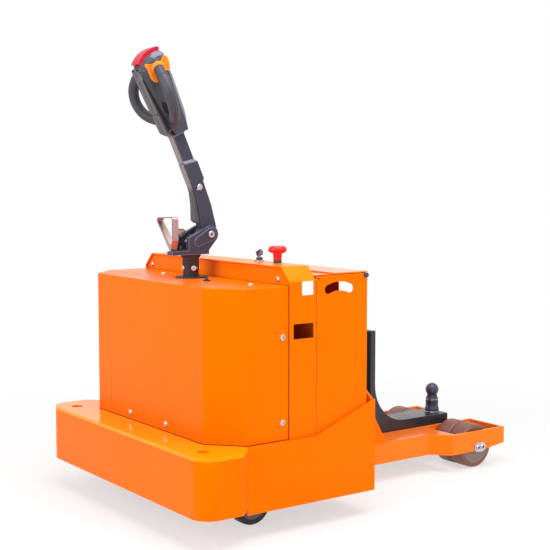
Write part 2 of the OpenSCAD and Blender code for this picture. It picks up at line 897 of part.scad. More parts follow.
// Outline of the pull loop seen from the front, for one side of its bar.
module loop_outline(inset) {
    foot = clevis_base + clevis_t;
    top = pivot_z + 46;
    hull() {
        translate([-40, top]) circle(r = 10 - inset);
        translate([36, top + 1]) circle(r = 12 - inset);
        translate([43, foot + 35]) circle(r = 5 - inset);
        translate([33 + inset / 2, foot + 5 + 3 * inset]) circle(r = 5 - inset);
    }
}

module pull_loop() {
    color(silver) translate([clevis_front - loop_bar_w - 1, 0, 0]) rotate([90, 0, 90]) linear_extrude(loop_bar_w)
        difference() {
            loop_outline(0);
            loop_outline(loop_bar_t);
        }
}

module pivot_pin() {
    color(silver) y_rod(pivot_x, pivot_z, pivot_r - run_gap, 2 * (ear_outer + boss_t) + 6);
}

// Places the children in the lower arm's own frame, with Z along the arm.
module on_arm() {
    translate([pivot_x, 0, pivot_z]) rotate([0, arm_lean, 0]) children();
}

bend_x = pivot_x + arm_len * sin(arm_lean);
bend_z = pivot_z + arm_len * cos(arm_lean);

// Places the children in the frame of the upper tube, with Z along the tube.
module on_tube() {
    translate([bend_x, 0, bend_z]) rotate([0, head_lean, 0]) children();
}

// Places the children in the head's frame.
module on_head() {
    on_tube() translate([0, 0, tube_len]) children();
}

arm_half = 18;
tube_half = 15;
// Half depth of the upper tube, from its front to its back
tube_depth = 20;
// Height of the head's lower face in the head's frame
head_foot = 11;
// Front edge of the lower arm, from the pivot upwards
arm_front = [[12, 43], [7, 123], [11, arm_len - 65], [22, arm_len + 7]];

module tiller_arm() {
    arm_back = [
        [-28, arm_len + 6], [-37, arm_len - 54], [-32, arm_len - 62], [-41, 88],
        [-41, 12], [-26, -16], [12, -16]
    ];
    color(black) {
        difference() {
            union() {
                on_arm() xz_plate(2 * arm_half, -arm_half) polygon(concat(arm_front, arm_back));
                y_rod(pivot_x, pivot_z, ear_r - 4, 2 * ear_inner - 2);
            }
            y_rod(pivot_x, pivot_z, pivot_r, 4 * ear_inner);
        }
        on_tube() translate([-tube_depth, -tube_half, -10])
            cube([2 * tube_depth, 2 * tube_half, tube_len + head_foot + 10]);
    }
}

cover_half = 13;
cover_t = 4;

// The strip in front of the arm; it swells into a guard over the pivot.
module arm_cover() {
    guard = [[27, arm_len + 7], [16, arm_len - 65], [14, 142], [19, 103], [31, 54], [22, 43]];
    color(grey) {
        on_tube() translate([tube_depth, -cover_half, 13])
            cube([cover_t, 2 * cover_half, tube_len + head_foot - 13]);
        on_arm() xz_plate(2 * cover_half, -cover_half) polygon(concat(arm_front, guard));
    }
}

// Half width of the head, and of the flat band round it
head_half = 38;
head_band = 22;
// Radius of the head's top, about the middle of that arc
head_top_r = 84;
head_top_mid = [-18, head_len - head_top_r];
// Largest reach of the head to the front, and the reach of its flat back
head_front = 57;
head_back = 51;

// Arc over the head's top under the belly button, drawn in by the given amount.
function top_arc(inset) = arc_points(head_top_mid, head_top_r - inset, 44, -14, 8);

// Side view of the head, drawn in by the given amount.
function head_points(inset) = concat(
    top_arc(inset),
    [
        [inset - head_back, head_len - 17 - inset / 2], [inset - head_back, 204], [inset - 47, 58],
        [inset * 0.4 - 33, head_foot], [27 - inset * 0.4, head_foot], [43 - inset * 0.8, 27 + inset / 2],
        [50 - inset, 120], [head_front - inset, head_len - 42 - inset / 2]
    ]
);

module head_housing() {
    color(black) on_head() hull() {
        xz_plate(2 * head_half, -head_half) polygon(head_points(head_half - head_band));
        xz_plate(2 * head_band, -head_band) polygon(head_points(0));
    }
}

// Place of the handle loops' middle plane in the head's frame
loop_x = -12;
loop_mid = head_len - 129;
// How far the loops sweep forward as they go out, and how far their top leans back
loop_sweep = 22;
loop_tilt = 4;
// Radius of the loops' bend and height of its centre over their middle
loop_bend = 76;
loop_rise = -7;
// Length of the loops' straight ends, of which a part lies in the head
loop_end = 80;
// Slope of the loops' upper and lower ends
loop_high_slope = 35;
loop_low_slope = 13;
// Thickness and width of the rings over the ends of the grips
grip_ring_t = 1.2;
grip_ring_w = 12;

// Places the children in the plane of the left handle loop.
module on_loop() {
    translate([loop_x, 0, loop_mid]) rotate([0, -loop_tilt, 0]) rotate([0, 0, -loop_sweep]) children();
}

// A round bar that starts at the given angle of the loop's bend, turned from upright.
module loop_bar(angle, turn, start, r, length) {
    y = loop_reach - loop_bend + loop_bend * sin(angle);
    z = loop_rise + loop_bend * cos(angle);
    translate([0, y, z]) rotate([turn, 0, 0]) translate([0, 0, start]) cylinder(r = r, h = length);
}

// A straight end of a loop with the ring over its seam.
module loop_tail(angle, turn) {
    loop_bar(angle, turn, 0, loop_r, loop_end);
    loop_bar(angle, turn, -grip_ring_w / 2, loop_r + grip_ring_t, grip_ring_w);
}

module handle_loop() {
    $fn = 40;
    foot_angle = 180 - loop_low_slope;
    on_loop() translate([0, loop_reach - loop_bend, loop_rise]) rotate([0, -90, 0]) rotate([0, 0, loop_high_slope])
        rotate_extrude(angle = foot_angle - loop_high_slope) translate([loop_bend, 0]) circle(r = loop_r);
    difference() {
        on_loop() {
            loop_tail(loop_high_slope, 90 - loop_high_slope);
            loop_tail(foot_angle, 90 + loop_low_slope);
        }
        translate([-2 * head_front, -2 * head_half, 0]) cube([4 * head_front, 3 * head_half, 2 * head_len]);
    }
}

module handle_loops() {
    color(black) on_head() both_sides() handle_loop();
}

button_t = 13;

module belly_button() {
    outer = arc_points(head_top_mid, head_top_r + button_t, -14, 44, 8);
    color(red) on_head() xz_plate(2 * head_band, -head_band) polygon(concat(top_arc(0), outer));
}

paddle_t = 13;

// Side view of the two throttle wings, drawn from the head's top down.
module paddle_outline() {
    top = head_len - 20;
    polygon([
        [43, top - 5], [31, top - 5], [14, top - 10], [-4, top - 5], [-18, top - 12], [-36, top + 1],
        [-46, top - 14], [-37, top - 50], [-22, top - 44], [-4, top - 50], [22, top - 68], [38, top - 43]
    ]);
}

module throttle_paddles() {
    color(orange) on_head() both_sides() difference() {
        xz_plate(paddle_t, head_half) paddle_outline();
        on_loop() loop_bar(loop_high_slope, 90 - loop_high_slope, 0, loop_r + 1, loop_end);
    }
}

front_bumper();
bumper_top();
deck_plate();
side_plate_left();
side_plate_right();
bearing_ring();
rear_bulkhead();
leg_left();
leg_right();
leg_gussets();
mast_rails();
mast_cheeks();
front_hood();
console_band();
console_panel();
battery_housing();
battery_block();
lid_pins();
lift_cylinder();
emergency_stop();
stop_base();
key_switch();
column_flange();
hood_plug();
caster_mounts();
roller_axles();
axle_keepers();
steering_column();
tiller_clevis();
pull_loop();
drive_motor();
drive_gearbox();
drive_hub();
drive_tyre();
caster_fork_left();
caster_fork_right();
caster_wheel_left();
caster_wheel_right();
rollers_left();
rollers_right();
tow_bracket();
tow_ball();
lift_rod();
battery_lid();
pivot_pin();
tiller_arm();
arm_cover();
head_housing();
handle_loops();
belly_button();
throttle_paddles();
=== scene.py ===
# %% [markdown]
# # A walk-behind baggage tug
#
# This file is read from top to bottom, like a notebook. Each step first says
# what a piece or a finish is on the real machine and how it could be made,
# and then makes it. The machine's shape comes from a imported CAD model. Blender
# adds the finish: paint, rubber, plastic, screws, welds and soft edges.

# %% Load the machine
import json
from math import cos, pi, radians, sin, sqrt

import bmesh
import bpy
from mathutils import Matrix, Vector


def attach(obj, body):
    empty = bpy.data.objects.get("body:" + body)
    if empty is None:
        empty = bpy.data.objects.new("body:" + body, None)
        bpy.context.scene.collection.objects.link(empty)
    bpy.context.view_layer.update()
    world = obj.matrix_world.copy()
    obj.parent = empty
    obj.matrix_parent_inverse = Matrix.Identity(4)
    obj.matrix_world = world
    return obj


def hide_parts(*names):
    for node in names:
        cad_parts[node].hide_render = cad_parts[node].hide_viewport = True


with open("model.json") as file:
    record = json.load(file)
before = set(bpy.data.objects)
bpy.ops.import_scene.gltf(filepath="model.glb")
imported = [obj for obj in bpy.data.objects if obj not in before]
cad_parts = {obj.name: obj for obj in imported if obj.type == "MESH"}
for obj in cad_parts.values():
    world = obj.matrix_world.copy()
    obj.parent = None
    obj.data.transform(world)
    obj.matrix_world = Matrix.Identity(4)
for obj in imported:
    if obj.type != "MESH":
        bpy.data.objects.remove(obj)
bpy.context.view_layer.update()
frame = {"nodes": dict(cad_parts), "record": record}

scene = bpy.context.scene
nodes = frame["nodes"]
MM = 0.001

# %% [markdown]
# ## The camera
#
# The reference view looks from the front left corner, a little from above.
# A camera can be placed by hand until it looks right, or solved from edges
# that are known to be parallel. The numbers below were solved: they say where
# the lens stands and how many image pixels one unit of slope covers.

# %% Place the camera
IMAGE_PIXELS = 550
FOCAL_PIXELS = 1146.2
SENSOR_WIDTH = 36.0
CAMERA_PLACE = Vector((2.427, 3.180, 1.070))
CAMERA_YAW = radians(35.75)
CAMERA_PITCH = radians(4.84)

look = Vector((
    -sin(CAMERA_YAW) * cos(CAMERA_PITCH),
    -cos(CAMERA_YAW) * cos(CAMERA_PITCH),
    -sin(CAMERA_PITCH),
))
lens = bpy.data.cameras.new("photo_view")
lens.sensor_width = SENSOR_WIDTH
lens.lens = FOCAL_PIXELS / IMAGE_PIXELS * SENSOR_WIDTH
camera = bpy.data.objects.new("photo_view", lens)
camera.location = CAMERA_PLACE
camera.rotation_euler = look.to_track_quat("-Z", "Y").to_euler()
scene.collection.objects.link(camera)
scene.camera = camera
print("focal length in mm:", round(lens.lens, 1))

# %% [markdown]
# ## Light
#
# A product photograph is lit by large soft lamps in a white room. Here a
# white world gives the even part, and three area lamps give direction: a big
# one above, one in front and one on the camera's side. The Standard view
# transform shows a colour about as it is written. The deck and the lid would
# mirror the low side lamp and burn out, so only matt light comes from it.

# %% Hang the lamps
scene.view_settings.view_transform = "Standard"


def lamp(name, place, aim, size, watts):
    """A square soft lamp at a place, turned towards a point."""
    data = bpy.data.lights.new(name, "AREA")
    data.shape = "SQUARE"
    data.size = size
    data.energy = watts
    obj = bpy.data.objects.new(name, data)
    obj.location = place
    obj.rotation_euler = (Vector(aim) - Vector(place)).to_track_quat("-Z", "Y").to_euler()
    scene.collection.objects.link(obj)
    return obj


lamp("top_lamp", (0.4, 0.9, 3.4), (0.1, 0, 0.4), 2.6, 86)
lamp("front_lamp", (3.8, 0.2, 1.9), (0.4, 0, 0.5), 2.2, 54)
side_lamp = lamp("side_lamp", (-0.4, 4.2, 1.9), (0, 0, 0.5), 2.4, 46)
side_lamp.visible_glossy = False

# %% [markdown]
# The world, the floor and all finishes are networks of nodes. A socket of a
# node either holds a value or is fed by another node. Two helpers fill the
# sockets, so that a network reads like a list of what goes where.

# %% Write the helpers for nodes
WHITE = (1, 1, 1, 1)


def fill(tree, node, inputs):
    """Gives each named socket of a node its value, or links another node's output to it."""
    for socket, value in inputs.items():
        if isinstance(value, bpy.types.NodeSocket):
            tree.links.new(value, node.inputs[socket])
        else:
            node.inputs[socket].default_value = value


def add_node(tree, kind, inputs, **settings):
    """A new node with its settings made and its sockets filled."""
    node = tree.nodes.new("ShaderNode" + kind)
    for setting, value in settings.items():
        setattr(node, setting, value)
    fill(tree, node, inputs)
    return node


# %% [markdown]
# The background has to be pure white without lighting the machine any more.
# The Light Path node tells which kind of ray asks: camera rays and mirror rays
# see white at full strength, and the light that falls on surfaces is weaker.

# %% Paint the world white
WORLD_LIGHT = 0.56


def seen_directly(tree):
    """A value of 1 where the camera looks straight or by a mirror or glass, and 0 elsewhere."""
    path = add_node(tree, "LightPath", {}).outputs
    either = path["Is Camera Ray"]
    for ray in ("Is Glossy Ray", "Is Transmission Ray"):
        either = add_node(tree, "Math", {0: either, 1: path[ray]}, operation="MAXIMUM").outputs[0]
    return either


world = bpy.data.worlds.new("white_room")
scene.world = world
world.use_nodes = True
sky = world.node_tree
sky.nodes.clear()
sky_mix = add_node(sky, "MixShader", {"Fac": seen_directly(sky)})
for socket, strength in ((1, WORLD_LIGHT), (2, 1.0)):
    background = add_node(sky, "Background", {"Color": WHITE, "Strength": strength})
    sky.links.new(background.outputs[0], sky_mix.inputs[socket])
add_node(sky, "OutputWorld", {"Surface": sky_mix.outputs[0]})
print("world light:", WORLD_LIGHT)

# %% [markdown]
# The floor is one large disc. Near the machine it is a real matt surface that
# catches the soft shadow. Further out it fades into the white of the room, so
# that no horizon shows. The fade follows the distance from the machine.

# %% Lay the floor
FLOOR_RADIUS = 20.0
FADE_START, FADE_END = 1.1, 2.3
FLOOR_LIFT = 0.6

floor_mesh = bmesh.new()
bmesh.ops.create_circle(floor_mesh, cap_ends=True, segments=96, radius=FLOOR_RADIUS)
floor_data = bpy.data.meshes.new("studio_floor")
floor_mesh.to_mesh(floor_data)
floor_mesh.free()
floor = bpy.data.objects.new("studio_floor", floor_data)
scene.collection.objects.link(floor)

floor_paint = bpy.data.materials.new("studio_floor")
floor_paint.use_nodes = True
paper = floor_paint.node_tree
matt = paper.nodes["Principled BSDF"]
fill(paper, matt, {
    "Base Color": (0.9, 0.9, 0.9, 1), "Roughness": 0.8, "Specular IOR Level": 0.1,
})
spot = add_node(paper, "TexCoord", {}).outputs["Object"]
reach = add_node(paper, "VectorMath", {0: spot}, operation="LENGTH").outputs["Value"]
fade = add_node(paper, "MapRange", {
    "Value": reach, "From Min": FADE_START, "From Max": FADE_END, "To Min": FLOOR_LIFT,
}, interpolation_type="SMOOTHSTEP").outputs["Result"]
direct = add_node(paper, "Math", {0: fade, 1: seen_directly(paper)}, operation="MULTIPLY")
glow = add_node(paper, "Emission", {"Strength": 1.0})
paper_mix = add_node(paper, "MixShader", {
    "Fac": direct.outputs[0], 1: matt.outputs[0], 2: glow.outputs[0],
})
fill(paper, paper.nodes["Material Output"], {"Surface": paper_mix.outputs[0]})
floor_data.materials.append(floor_paint)
print("floor across in m:", 2 * FLOOR_RADIUS)

# %% [markdown]
# ## Finishes
#
# Every finish is built from nodes, so it has no picture in it and looks right
# from all sides. These helpers make the patterns that all finishes share: a
# noise, a range that picks part of a noise, a mix of two colours, and the mask
# along which edges get a painted highlight (on the pull loop, painted shade).
# The Bevel node rounds the normal off at an edge, so where it no longer agrees
# with the face's own normal there is an edge.

# %% Write the helpers for patterns
EDGE_FLAT, EDGE_SHARP = 0.98, 0.80


def srgb(red, green, blue):
    """A colour given in screen values from 0 to 255, as the linear values that shaders use."""
    def linear(value):
        share = value / 255
        return share / 12.92 if share <= 0.04045 else ((share + 0.055) / 1.055) ** 2.4
    return (linear(red), linear(green), linear(blue), 1)


def noise(tree, place, scale, detail=3, stretch=None):
    """A noise value over the surface; stretch squeezes it along some axes."""
    if stretch:
        place = add_node(tree, "Mapping", {"Vector": place, "Scale": stretch}).outputs["Vector"]
    inputs = {"Vector": place, "Scale": scale, "Detail": detail}
    return add_node(tree, "TexNoise", inputs).outputs["Fac"]


def ranged(tree, value, low, high, out_low, out_high):
    """Maps a value from one range to another, held at both ends."""
    return add_node(tree, "MapRange", {
        "Value": value, "From Min": low, "From Max": high, "To Min": out_low, "To Max": out_high,
    }).outputs["Result"]


def mixed(tree, share, first, second):
    """Mixes two colours; each is a colour value or the output of another node."""
    inputs = {"Factor": share, "A": first, "B": second}
    return add_node(tree, "Mix", inputs, data_type="RGBA").outputs["Result"]


def edge_mask(tree, width, share):
    """A value that rises on sharp edges, from the normal that the Bevel node rounds off."""
    rounded = add_node(tree, "Bevel", {"Radius": width}, samples=6).outputs["Normal"]
    face = add_node(tree, "NewGeometry", {}).outputs["True Normal"]
    dot = add_node(tree, "VectorMath", {0: rounded, 1: face}, operation="DOT_PRODUCT")
    return ranged(tree, dot.outputs["Value"], EDGE_FLAT, EDGE_SHARP, 0, share)


# %% [markdown]
# One function makes every finish: a colour that drifts a little, a roughness
# that varies with it, a fine grain as bump, faint scuffs where they are asked
# for, painted light on upward faces or upper parts where a zone is asked for,
# and edges painted lighter as a highlight (darker as shade on the pull loop).
# What is the same all over a surface is set on the shader's own socket. All
# colours are given in screen values.

# %% Write the helper for finishes
DRIFT_SCALE, SCUFF_SCALE = 6, 38
SCUFF_FROM, SCUFF_TO, SCUFF_SHARE = 0.60, 0.72, 0.55
GRAIN_HEIGHT = 0.002
finishes = {}


def finish(name, colour, drift, rough, metal=0.0, gloss=0.5, grain=900, depth=0.02, stretch=None,
           edge=None, edge_width=0.003, edge_share=0.5, scuff=None, sheen_tint=WHITE, zone=None):
    """Adds a finish; zone = (what, low, high, colour) recolours it along Z as painted light."""
    made = finishes[name] = bpy.data.materials.new(name)
    made.use_nodes = True
    tree = made.node_tree
    spots = add_node(tree, "TexCoord", {}).outputs
    place = spots["Object"]
    broad = noise(tree, place, DRIFT_SCALE, 4)
    tint = mixed(tree, broad, srgb(*colour), srgb(*drift))
    # A zone paints light: faces that turn up, or the upper part of a piece, get a lighter colour.
    if zone:
        what, low, high, other = zone
        height = add_node(tree, "SeparateXYZ", {0: spots[what]}).outputs["Z"]
        tint = mixed(tree, ranged(tree, height, low, high, 0, 1), tint, srgb(*other))
    if scuff:
        worn = noise(tree, place, SCUFF_SCALE, 9)
        worn = ranged(tree, worn, SCUFF_FROM, SCUFF_TO, 0, SCUFF_SHARE)
        tint = mixed(tree, worn, tint, srgb(*scuff))
    # The edge colour paints a highlight along sharp edges, and on the pull loop a shade.
    if edge:
        tint = mixed(tree, edge_mask(tree, edge_width, edge_share), tint, srgb(*edge))
    fine = noise(tree, place, grain, 3, stretch)
    bump = add_node(tree, "Bump", {"Strength": depth, "Distance": GRAIN_HEIGHT, "Height": fine})
    fill(tree, tree.nodes["Principled BSDF"], {
        "Base Color": tint, "Metallic": metal, "Specular IOR Level": gloss,
        "Specular Tint": sheen_tint, "Roughness": ranged(tree, broad, 0.3, 0.7, *rough),
        "Normal": bump.outputs["Normal"],
    })


# %% [markdown]
# The orange is a powder coat: smooth, with the slight orange-peel ripple that
# melted powder leaves, and its edges are painted lighter as a painted highlight.
# A white room would wash the orange out, so the specular tint makes the mirror
# part orange where the paint is seen from straight ahead. At a flat angle it
# stays white, which is why the deck and the lid shine. They get a glossier
# coat, and their orange is painted lighter and yellower, as painted light on
# their tops. The console band's upward slants and the console panel are also
# painted yellower, as painted light.

# %% Mix the orange paints
POWDER = {"grain": 420, "sheen_tint": (1.0, 0.36, 0.02, 1)}
# The orange edge colour is a painted highlight.
EDGE_HIGHLIGHT = (255, 150, 50)

finish("orange_paint", (255, 114, 0), (252, 109, 0), (0.22, 0.32), gloss=0.10, depth=0.04,
       edge=EDGE_HIGHLIGHT, edge_share=0.45, **POWDER)
# The band's faces that slant upwards are painted yellower: painted light from above.
finish("band_paint", (255, 114, 0), (252, 109, 0), (0.22, 0.32), gloss=0.12, depth=0.04,
       edge=EDGE_HIGHLIGHT, zone=("Normal", 0.3, 0.65, (255, 134, 16)), **POWDER)
# The console panel is painted lighter and yellower: painted light.
finish("panel_paint", (255, 134, 2), (255, 128, 2), (0.26, 0.36), gloss=0.12, depth=0.04,
       edge=EDGE_HIGHLIGHT, **POWDER)
# The deck and the lid are painted lighter and yellower: painted light on their tops.
finish("deck_paint", (255, 158, 8), (255, 152, 6), (0.10, 0.17), depth=0.03,
       edge=(255, 168, 40), **POWDER)
finish("lid_paint", (255, 128, 30), (255, 122, 26), (0.12, 0.2), gloss=0.6, depth=0.03,
       edge=EDGE_HIGHLIGHT, **POWDER)
print("orange paints:", ", ".join(finishes))

# %% [markdown]
# The castings have a black coat with a bluish tone, and their edges are
# painted pale as a painted highlight. The column, the tow bracket and its ball
# have plainer coats, and the mast's rails are the darkest. Zinc plate has faint
# grey scuffs, and the pull loop is plain steel whose thin edges are painted dark
# brown as painted shade.

# %% Mix the black coats and the metals
# The pale edge colours of the black coats are painted highlights.
finish("black_cast", (58, 58, 76), (48, 49, 65), (0.40, 0.58), gloss=0.4, grain=520, depth=0.16,
       edge=(140, 140, 166), edge_share=0.6)
finish("clevis_cast", (58, 58, 76), (48, 49, 65), (0.36, 0.5), gloss=0.45, grain=520, depth=0.16,
       edge=(150, 150, 182), edge_width=0.0036, edge_share=0.95)
finish("column_black", (50, 43, 46), (42, 37, 40), (0.42, 0.6), gloss=0.35, grain=520, depth=0.2,
       edge=(96, 88, 92))
finish("bracket_coat", (44, 42, 54), (36, 35, 46), (0.16, 0.30), grain=420, depth=0.2,
       edge=(110, 108, 128))
finish("ball_coat", (64, 64, 90), (56, 56, 80), (0.28, 0.40), grain=420, depth=0.1,
       edge=(120, 120, 146))
finish("rail_black", (22, 19, 22), (16, 14, 16), (0.55, 0.75), gloss=0.12, depth=0.2,
       edge=(56, 50, 56))

# Bare metal is ground along its length, so its grain is stretched.
finish("bright_steel", (186, 186, 192), (160, 160, 168), (0.22, 0.38), metal=1.0, grain=260,
       depth=0.05, stretch=(1, 1, 18))
finish("zinc", (222, 218, 224), (196, 192, 202), (0.24, 0.40), metal=1.0, grain=300, depth=0.05,
       scuff=(176, 168, 172))
finish("screw_zinc", (232, 220, 222), (212, 202, 206), (0.3, 0.42), metal=0.25, grain=300,
       depth=0.04)
# The pull loop's dark brown edge colour paints the shade on its thin faces.
finish("loop_steel", (196, 168, 166), (178, 150, 150), (0.34, 0.5), metal=1.0, grain=300,
       depth=0.05, edge=(96, 66, 60), edge_width=0.0026, edge_share=1.0)
finish("grey_cast", (112, 112, 118), (94, 95, 101), (0.46, 0.62), depth=0.25, grain=380)
print("finishes so far:", len(finishes))

# %% [markdown]
# The plastics differ in grain: the red and orange mouldings are smooth, the
# black ones finely etched, and their lighter edges are painted highlights. The
# strip along the tiller's arm is painted lighter in its upper part: painted
# light on the face there that turns to the light. Rubber is the roughest, with
# pale scuffs from the floor.

# %% Mix the plastics and rubbers
finish("black_plastic", (68, 66, 74), (60, 58, 67), (0.44, 0.60), gloss=0.4, grain=1500,
       depth=0.12, edge=(112, 108, 116))
# The zone paints the strip's upper part lighter: painted light.
finish("strip_plastic", (84, 76, 82), (74, 67, 73), (0.36, 0.5), grain=1500, depth=0.12,
       edge=(150, 140, 146), zone=("Object", 1.025, 1.045, (136, 124, 128)))
finish("battery_case", (54, 56, 62), (46, 48, 53), (0.46, 0.62), depth=0.1)
finish("red_plastic", (222, 26, 34), (206, 20, 28), (0.28, 0.38), gloss=0.45, grain=1600,
       depth=0.04, edge=(246, 84, 84))
finish("belly_red", (192, 14, 46), (176, 12, 40), (0.28, 0.38), gloss=0.30, grain=1600,
       depth=0.04, edge=(232, 84, 104))
finish("orange_plastic", (255, 140, 16), (250, 130, 10), (0.32, 0.42), gloss=0.3, grain=1600,
       depth=0.04, edge=(255, 188, 90))
finish("tyre_rubber", (46, 44, 45), (38, 36, 37), (0.6, 0.8), gloss=0.3, depth=0.3,
       scuff=(84, 78, 74))
finish("caster_rubber", (62, 54, 50), (50, 44, 42), (0.5, 0.7), gloss=0.35, depth=0.2,
       scuff=(92, 82, 76))
finish("roller_tread", (140, 90, 78), (116, 72, 62), (0.34, 0.5), depth=0.15, grain=600,
       scuff=(112, 74, 66))
print("finishes:", len(finishes))

# %% [markdown]
# ## Dress the CAD pieces
#
# Sheet metal and castings never have razor edges: a laser cut is deburred and
# a casting has radii. The mesh of a CAD piece stays as it is, but modifiers
# may work on top of it: Weld joins the split corners and Bevel rounds the
# sharp edges, while its hardened normals keep flat faces flat.

# %% Write the helper for soft edges
CORNER_GAP = 0.00001
SHARP_FROM = radians(30)


def soften(obj, radius, segments=2):
    """Rounds the sharp edges of an object with modifiers, and leaves its mesh alone."""
    weld = obj.modifiers.new("join corners", "WELD")
    weld.merge_threshold = CORNER_GAP
    bevel = obj.modifiers.new("round edges", "BEVEL")
    bevel.width = radius * MM
    bevel.segments = segments
    bevel.limit_method = "ANGLE"
    bevel.angle_limit = SHARP_FROM
    bevel.harden_normals = True


# %% [markdown]
# Each node takes the finish of its slot in the record, unless it is listed
# with a finish of its own that differs a little from the rest of the slot.

# %% Paint and soften every node
EDGE_RADII = {
    "front_bumper": 0.5, "front_hood": 2.9, "console_band": 1.2, "console_panel": 0.8,
    "battery_housing": 0.8, "battery_lid": 1.2, "side_plate_left": 1.2, "side_plate_right": 1.2,
    "rear_bulkhead": 1.5, "leg_left": 1.5, "leg_right": 1.5, "leg_gussets": 1.2,
    "mast_cheeks": 1.0, "mast_rails": 1.0, "tow_bracket": 2.5, "tiller_clevis": 1.6,
    "tiller_arm": 2.2, "arm_cover": 1.2, "caster_fork_left": 1.0, "caster_fork_right": 1.0,
    "caster_mounts": 1.5, "deck_plate": 1.0, "battery_block": 3.0, "pull_loop": 0.5,
    "axle_keepers": 0.8, "lift_cylinder": 1.0, "drive_gearbox": 1.5,
}
# The deck, the lid and the legs take paints that are painted lighter for their lit tops; the band,
# the panel and the arm's strip are painted light as well.
OWN_FINISH = {
    "bumper_top": "deck_paint", "battery_lid": "lid_paint", "console_panel": "panel_paint",
    "console_band": "band_paint", "leg_left": "lid_paint", "leg_right": "lid_paint",
    "tiller_clevis": "clevis_cast", "steering_column": "column_black",
    "column_flange": "column_black", "hood_plug": "column_black", "tow_bracket": "bracket_coat",
    "tow_ball": "ball_coat", "mast_rails": "rail_black", "lift_cylinder": "rail_black",
    "arm_cover": "strip_plastic", "pull_loop": "loop_steel", "belly_button": "belly_red",
}

slot_of = {row["node"]: row["material_slot"] for row in frame["record"]["subparts"]}
for name, obj in nodes.items():
    obj.data.materials.clear()
    obj.data.materials.append(finishes[OWN_FINISH.get(name, slot_of[name])])
    if name in EDGE_RADII:
        soften(obj, EDGE_RADII[name])
print("dressed", len(nodes), "nodes, softened", len(EDGE_RADII))

# %% [markdown]
# ## Helpers for small pieces
#
# Every small piece is put together in a frame of its own: a place, and an axis
# along which it points. Points are given in that frame, in millimetres. Most
# forms are lofts: layers with the same number of points, joined to a skin.

# %% Write the helpers for frames and skins
WORLD = Matrix.Identity(4)
SIDES = (1, -1)
FRONT, LEFT, UP, DOWN = (1, 0, 0), (0, 1, 0), (0, 0, 1), (0, 0, -1)


def facing(place, axis, up=UP):
    """A frame at a place whose Z runs along an axis; up turns it about that axis."""
    z = Vector(axis).normalized()
    side = Vector(up).cross(z)
    if side.length < 0.1:
        side = Vector(LEFT).cross(z)
    x = side.normalized()
    made = Matrix((x, z.cross(x), z)).transposed().to_4x4()
    made.translation = Vector(place)
    return made


def on_flank(x, y, z, side):
    """A frame on the left (1) or right (-1) side, facing outwards."""
    return facing((x, side * y, z), (0, side, 0))


def loop_of(bm, place, points):
    """A loop of vertices at points of a frame."""
    return [bm.verts.new((place @ Vector(point)) * MM) for point in points]


def lofted(bm, place, layers, closed=False):
    """Fills the skin between layers of points, and the two ends unless the row is closed."""
    loops = [loop_of(bm, place, layer) for layer in layers]
    rows = list(zip(loops, loops[1:]))
    if closed:
        rows.append((loops[-1], loops[0]))
    else:
        bm.faces.new(loops[0][::-1])
        bm.faces.new(loops[-1])
    for low, high in rows:
        for i in range(len(low)):
            j = (i + 1) % len(low)
            bm.faces.new((low[i], low[j], high[j], high[i]))


# %% [markdown]
# Screws, washers, knobs and wheels are turned forms, so one helper lofts rings
# about an axis. A ring may also be a hexagon or a cross, which gives a bolt's
# head or the slot of a screw without any boolean.

# %% Write the helper for turned forms
SLOT_WIDTH = 0.24


def around(count, radius, start=0):
    """Points (x, y) spaced evenly on a circle, from a start angle in degrees."""
    angles = [radians(start + 360 * i / count) for i in range(count)]
    return [(radius * cos(a), radius * sin(a)) for a in angles]


def reach_at(kind, size, angle):
    """How far a ring reaches: round, hex as on a bolt, or cross as in a screw's slot."""
    if kind == "hex":
        return size / cos((angle + pi / 6) % (pi / 3) - pi / 6)
    if kind == "cross":
        near = (angle + pi / 4) % (pi / 2) - pi / 4
        return min(size / cos(near), SLOT_WIDTH * size / max(abs(sin(near)), 0.01))
    return size


def turned(bm, place, rings, steps=32, closed=False):
    """Lofts rings about Z; a ring is (size, height) or (size, height, kind)."""
    layers = []
    for size, height, *kind in rings:
        points = []
        for i in range(steps):
            angle = 2 * pi * i / steps
            reach = reach_at(kind[0] if kind else "round", size, angle)
            points.append((reach * cos(angle), reach * sin(angle), height))
        layers.append(points)
    lofted(bm, place, layers, closed)


# %% [markdown]
# A second helper runs a round section along points, for welds, springs and
# seams, and a third gives a flat outline a thickness.

# %% Write the helpers for swept and flat forms
def swept(bm, place, points, radius, steps=8, closed=False, ripple=0.0):
    """Runs a round section along points; ripple makes it swell and sink like a weld."""
    spots = [place @ Vector(p) for p in points]
    angles = [2 * pi * k / steps for k in range(steps)]
    last = len(spots) - 1
    layers, side = [], None
    for i, spot in enumerate(spots):
        before = spots[i - 1] if closed or i > 0 else spot
        after = spots[(i + 1) % (last + 1)] if closed or i < last else spot
        along = (after - before).normalized()
        side = along.orthogonal() if side is None else side - along * side.dot(along)
        side.normalize()
        other = along.cross(side)
        reach = radius * (1 + ripple * (i % 2))
        layers.append([spot + reach * (side * cos(a) + other * sin(a)) for a in angles])
    lofted(bm, WORLD, layers, closed)


def plate(bm, place, outline, thickness):
    """Gives an outline in the frame's XY plane a thickness along its Z."""
    lofted(bm, place, [[(x, y, z) for x, y in outline] for z in (0, thickness)])


# %% [markdown]
# The last helper turns built faces into a real piece: it gets a mesh, smooth
# shading with sharp edges, a finish (by default the one of its slot in the
# record), soft edges if wanted, and the body it rides on.

